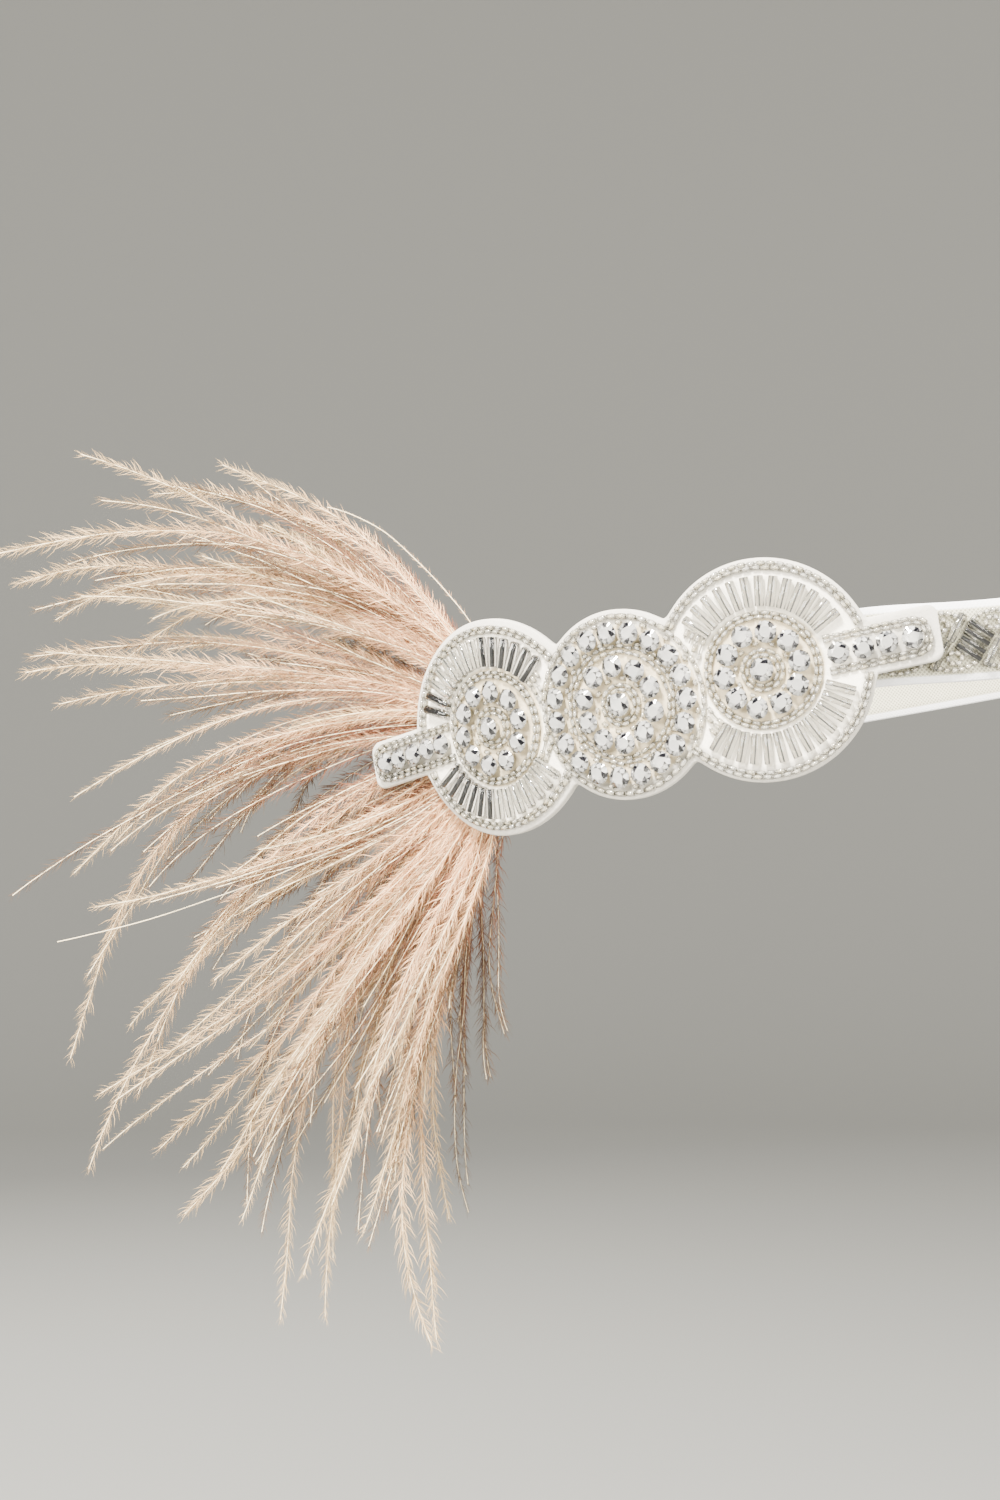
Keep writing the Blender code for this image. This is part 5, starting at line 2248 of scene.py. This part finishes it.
@dataclass
class Plume:
    """An ostrich plume: barbs that fan out of a pad behind the left medallion."""

    shop: Workshop
    out: float = 2.3 * MM
    root: Place = (6.0 * MM, -3.0 * MM)
    root_spread: float = 2.6 * MM
    layers: tuple[FillLayer, ...] = (
        FillLayer(74, (0.66, 0.96), (0.9, 0.8)),
        FillLayer(96, (0.42, 0.72), (0.9, 1.4)),
        # The back layer takes dark tones: painted shade of the barbs in front of it.
        FillLayer(76, (0.5, 0.85), (0.7, 5.0), 1.4 * MM),
    )
    ranks_left_out: float = 2.2
    aim_spread: float = 2.5
    bend_spread: float = 7.0
    lift_spread: float = 4.0
    least_lift: float = -1.0
    fluffs: Span = (0.75, 1.15)
    pale_depth: float = 1.6 * MM
    dark_depth: float = 0.9 * MM
    depth_scatter: float = 0.2 * MM
    steps: int = 34
    # Of each wave, the spread of its size in degrees and that of its count along a barb.
    waves: tuple[tuple[Span, Span], ...] = (((1.5, 6.0), (0.7, 1.7)), ((0.5, 2.2), (3.0, 6.0)))
    depth_growth: float = 3.0
    sway: float = 0.02
    sway_count: float = 1.5
    under_felt: float = 26.0 * MM
    under_tail: float = 43.0 * MM
    tail_aim: float = -5.0
    tail_reach: float = 14.0
    highest_aim: float = 55.0
    lowest_aim: float = -51.0
    lowest_end: float = -84.0
    turn_power: float = 1.2
    lift_power: float = 1.4
    pieces: int = 4
    spacing: float = 0.235 * MM
    down_length: float = 3.9 * MM
    shaft: float = 0.11 * MM
    opening: float = math.radians(40.0)
    roll: float = math.radians(62.0)
    full_shares: tuple[float, ...] = (0.0, 0.12, 0.3, 0.6, 0.9, 1.0)
    full_values: tuple[float, ...] = (0.2, 0.5, 0.85, 1.0, 0.9, 0.55)
    pad_radius: float = 7.0 * MM
    pad_thickness: float = 1.0 * MM
    pad_softening: float = 0.2 * MM
    pad_sides: int = 48
    seed: int = 7

    def fill_barbs(self) -> list[Barb]:
        """Choose the barbs that fill the fan, each between two leading ones."""
        chance = random.Random(self.seed)
        ranked = sorted(LEADING_BARBS, key=lambda barb: barb.aim)
        fills = []
        for layer in self.layers:
            for k in range(layer.count):
                spot = (k + chance.random()) / layer.count * (len(ranked) - self.ranks_left_out)
                rank = int(spot)
                aim, bend, reach, lift = ranked[rank].between(ranked[rank + 1], spot - rank)
                length = chance.uniform(*layer.lengths)
                tone = chance.betavariate(*layer.tones)
                aim += chance.gauss(0.0, self.aim_spread)
                aim = min(max(aim, self.lowest_aim), self.highest_aim)
                bend = max(bend * length + chance.gauss(0.0, self.bend_spread), self.lowest_end - aim)
                lift = max(lift + chance.gauss(0.0, self.lift_spread), self.least_lift)
                lift = self.least_lift if layer.behind else lift
                fluff = chance.uniform(*self.fluffs)
                scatter = chance.uniform(-self.depth_scatter, self.depth_scatter)
                # Paler barbs lie further forward and darker ones further back, so the tone also paints the
                # shade of depth.
                depth = self.pale_depth * tone - self.dark_depth + scatter - layer.behind
                fills.append(Barb(aim, bend, reach * length, lift, fluff, tone, depth))
        return fills

    def path(self, barb: Barb, chance: random.Random) -> np.ndarray:
        """Give a barb's points in the plume's plane: X back, Y up and Z out.

        Args:
            barb: The barb.
            chance: The source of its small waves and of its place on the pad.

        Returns:
            An array of points, one row each.
        """
        share = np.linspace(0.0, 1.0, self.steps + 1)
        middle = (share[1:] + share[:-1]) / 2
        waves = 0.0
        for sizes, counts in self.waves:
            size = chance.uniform(*sizes)
            waves = waves + size * np.sin(math.tau * (chance.uniform(*counts) * middle + chance.random()))
        heading = np.radians(barb.aim + barb.bend * middle**self.turn_power + waves * middle)
        run = barb.reach / self.steps
        spots = np.zeros((self.steps + 1, 3))
        spots[1:, 0] = np.cumsum(np.cos(heading)) * run
        spots[1:, 1] = np.cumsum(np.sin(heading)) * run
        spots[:, 0] += -self.root[0] + chance.uniform(-1.0, 1.0) * self.root_spread
        spots[:, 1] += self.root[1] + chance.uniform(-1.0, 1.0) * self.root_spread
        near_tail = math.exp(-(((barb.aim - self.tail_aim) / self.tail_reach) ** 4))
        covered = (self.under_felt + (self.under_tail - self.under_felt) * near_tail) / barb.reach
        past = np.clip((share - covered) / (1 - covered), 0.0, 1.0)
        spots[:, 2] = barb.reach * math.sin(math.radians(barb.lift)) * past**self.lift_power
        spots[:, 2] += barb.depth * (1.0 + self.depth_growth * past)
        swing = np.sin(math.tau * (share * self.sway_count + chance.random()))
        spots[:, 2] += past * barb.reach * self.sway * swing
        return spots

    def guide(self, name: str, barbs: Sequence[Barb], chance: random.Random) -> Object:
        """Make the guide of some barbs, with what the tree reads at each point.

        Args:
            name: The guide's name.
            barbs: The barbs.
            chance: The source of their small differences.

        Returns:
            The guide.
        """
        foot, normal, tangent = self.shop.loop.axes(self.shop.loop.leave)
        axes = Matrix((-tangent, Vector((0.0, 0.0, 1.0)), normal)).transposed().to_4x4()
        plane = self.shop.loop.turn @ Matrix.Translation(foot + normal * self.out) @ axes
        share = np.linspace(0.0, 1.0, self.steps + 1)
        full = np.interp(share, self.full_shares, self.full_values)
        lines = [([plane @ Vector(spot) for spot in self.path(barb, chance)], False) for barb in barbs]
        guide = line_guide(name, lines)
        keep_numbers(guide.data, "share", np.tile(share, len(barbs)))
        keep_numbers(guide.data, "tone", np.repeat([barb.tone for barb in barbs], len(share)))
        keep_numbers(guide.data, "fluff", np.outer([barb.fluff for barb in barbs], full).ravel())
        return guide

    def build(self) -> list[Object]:
        """Grow the barbs in several pieces, and add the pad that they are bound to."""
        facing = self.shop.loop.turn.to_3x3() @ self.shop.loop.axes(self.shop.loop.leave)[1]
        chance = random.Random(self.seed + 1)
        barbs = [*LEADING_BARBS, *self.fill_barbs()]
        made = []
        for k in range(self.pieces):
            name = f"plume_barbs_{k + 1}"
            values = {
                "Strand": self.shop.patterns.strand,
                "Spacing": self.spacing,
                "Down Length": self.down_length,
                "Opening": self.opening,
                "Roll": self.roll,
                "Shaft": self.shaft,
                "Facing": tuple(facing),
                "Seed": self.seed + k,
                "Feather": self.shop.finishes.feather,
            }
            piece = self.shop.barbs.make(name, self.guide(name, barbs[k :: self.pieces], chance), values)
            made.append(settle(piece, ["feather_plume"]))
        return [*made, self._pad()]

    def _pad(self) -> Object:
        """Make the felt pad under the medallion."""
        place = (self.shop.loop.leave + self.root[0], self.root[1])
        matrix = self.shop.loop.seat(place, self.out - self.pad_thickness / 2)
        slim = self.pad_radius - self.pad_softening
        high = self.pad_thickness - self.pad_softening
        stops = ((slim, 0.0), (self.pad_radius, self.pad_softening), (self.pad_radius, high))
        bm = bmesh.new()
        turn_shape(bm, (*stops, (slim, self.pad_thickness)), self.pad_sides)
        bmesh.ops.transform(bm, matrix=matrix, verts=bm.verts)
        pad = new_object("plume_pad", mesh_of(bm, "plume_pad"))
        pad.data.materials.append(self.shop.finishes.sewing_thread)
        return settle(pad)


# Studio


@dataclass
class Studio:
    """The camera at the photograph's angle, a pale bowl for floor and backdrop, and soft lights."""

    azimuth: float = math.radians(-66.4)
    elevation: float = math.radians(2.2)
    distance: float = 0.903
    lens: float = 99.62
    sensor: float = 36.0
    aim: Place = (-0.0616, -0.0138)
    light_aim: Spot = (-0.03, -0.01, 0.05)
    floor_height: float = -0.34
    floor_radius: float = 1.7
    wall_radius: float = 2.6
    wall_height: float = 1.1
    bowl_sides: int = 96
    floor_steps: int = 4
    bowl_steps: int = 14
    backdrop: Colour = (0.26, 0.26, 0.247)
    air: Colour = (0.8, 0.85, 0.9)
    air_strength: float = 0.08

    def __post_init__(self) -> None:
        """Work out the camera's axes."""
        sine = math.sin(self.azimuth)
        cosine = math.cos(self.azimuth)
        level = math.cos(self.elevation)
        self.back = Vector((sine * level, -cosine * level, math.sin(self.elevation)))
        self.right = Vector((cosine, sine, 0.0))
        self.up = self.back.cross(self.right)

    def place(self, right: float, up: float, back: float) -> Vector:
        """Give a point by its distances along the camera's axes from the origin."""
        return self.right * right + self.up * up + self.back * back

    def point_at(self, thing: Object, spot: Vector, target: Vector) -> None:
        """Put the camera or a light at a spot, and aim it at a target."""
        thing.location = spot
        thing.rotation_euler = (target - spot).to_track_quat("-Z", "Y").to_euler()

    def build_camera(self) -> None:
        """Make the camera."""
        data = bpy.data.cameras.new("camera")
        data.sensor_fit = "VERTICAL"
        data.sensor_height = self.sensor
        data.lens = self.lens
        data.clip_start = 0.05
        camera = new_object("camera", data)
        self.point_at(camera, self.back * self.distance, self.place(*self.aim, 0.0))
        bpy.context.scene.camera = camera

    def build_bowl(self) -> None:
        """Make the floor that curves up into a low wall all round."""
        flat = self.floor_steps
        stops = [(self.floor_radius * k / flat, self.floor_height) for k in range(1, flat + 1)]
        curve = self.wall_radius - self.floor_radius
        for k in range(1, self.bowl_steps + 1):
            angle = math.pi / 2 * k / self.bowl_steps
            height = self.floor_height + curve * (1 - math.cos(angle))
            stops.append((self.floor_radius + curve * math.sin(angle), height))
        stops.append((self.wall_radius, self.wall_height))
        bm = bmesh.new()
        rings = [ring_of(bm, radius, height, self.bowl_sides) for radius, height in stops]
        bm.faces.new(rings[0])
        for lower, upper in zip(rings, rings[1:]):
            bridge(bm, upper, lower)
        for face in bm.faces:
            face.smooth = True
        floor = new_object("studio_floor", mesh_of(bm, "studio_floor"))
        paper = Surface("studio_paper", Roughness=0.9, Base_Color=(*self.backdrop, 1.0))
        floor.data.materials.append(paper.material)

    def add_light(self, name: str, spot: Spot, size: Place, watts: float, colour: Colour) -> None:
        """Hang a soft oblong light that faces the headband.

        Args:
            name: The light's name.
            spot: Its place along the camera's axes.
            size: Its width and height.
            watts: Its power.
            colour: Its colour.
        """
        data = bpy.data.lights.new(name, "AREA")
        data.shape = "RECTANGLE"
        data.size, data.size_y = size
        data.energy = watts
        data.color = colour
        light = new_object(name, data)
        light.visible_camera = False
        self.point_at(light, self.place(*spot), self.place(*self.light_aim))

    def build(self) -> None:
        """Build the whole studio."""
        self.build_camera()
        self.build_bowl()
        warm = (1.0, 0.96, 0.88)
        cool = (1.0, 0.99, 0.97)
        self.add_light("key_light", (-0.95, 0.42, 0.95), (0.9, 0.5), 58.0, warm)
        self.add_light("high_light", (-0.35, 0.95, 0.75), (0.22, 0.22), 120.0, warm)
        self.add_light("fill_light", (0.75, 0.35, 1.1), (0.8, 0.8), 42.0, warm)
        self.add_light("top_light", (0.1, 1.2, -0.1), (0.8, 0.8), 24.0, cool)
        self.add_light("back_light", (-0.5, 0.5, -1.1), (0.5, 0.5), 16.0, warm)
        world = bpy.data.worlds.new("studio_air")
        world.use_nodes = True
        background = world.node_tree.nodes["Background"]
        background.inputs["Color"].default_value = (*self.air, 1.0)
        background.inputs["Strength"].default_value = self.air_strength
        bpy.context.scene.world = world


def main() -> None:
    """Load the frame, then build the studio and each sub-assembly in order."""
    logging.basicConfig(level=logging.INFO, format="%(name)s: %(message)s")
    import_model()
    Studio().build()
    shop = Workshop(Loop(), Finishes(), Patterns(), SetOutTree(), BeadTree(), BarbTree())
    band = BeadedBand(shop)
    band.build()
    BackElastic(shop, band).build()
    sheet = FeltSheet(shop)
    felt = sheet.build()
    beadwork = FanMedallion(shop, sheet, LEFT, seed=11).build()
    beadwork += RingMedallion(shop, sheet, MIDDLE, seed=12).build()
    beadwork += FanMedallion(shop, sheet, RIGHT, seed=13).build()
    sheet.declare(felt, beadwork)
    Plume(shop).build()
    shop.patterns.remove()


if __name__ == "__main__":
    main()
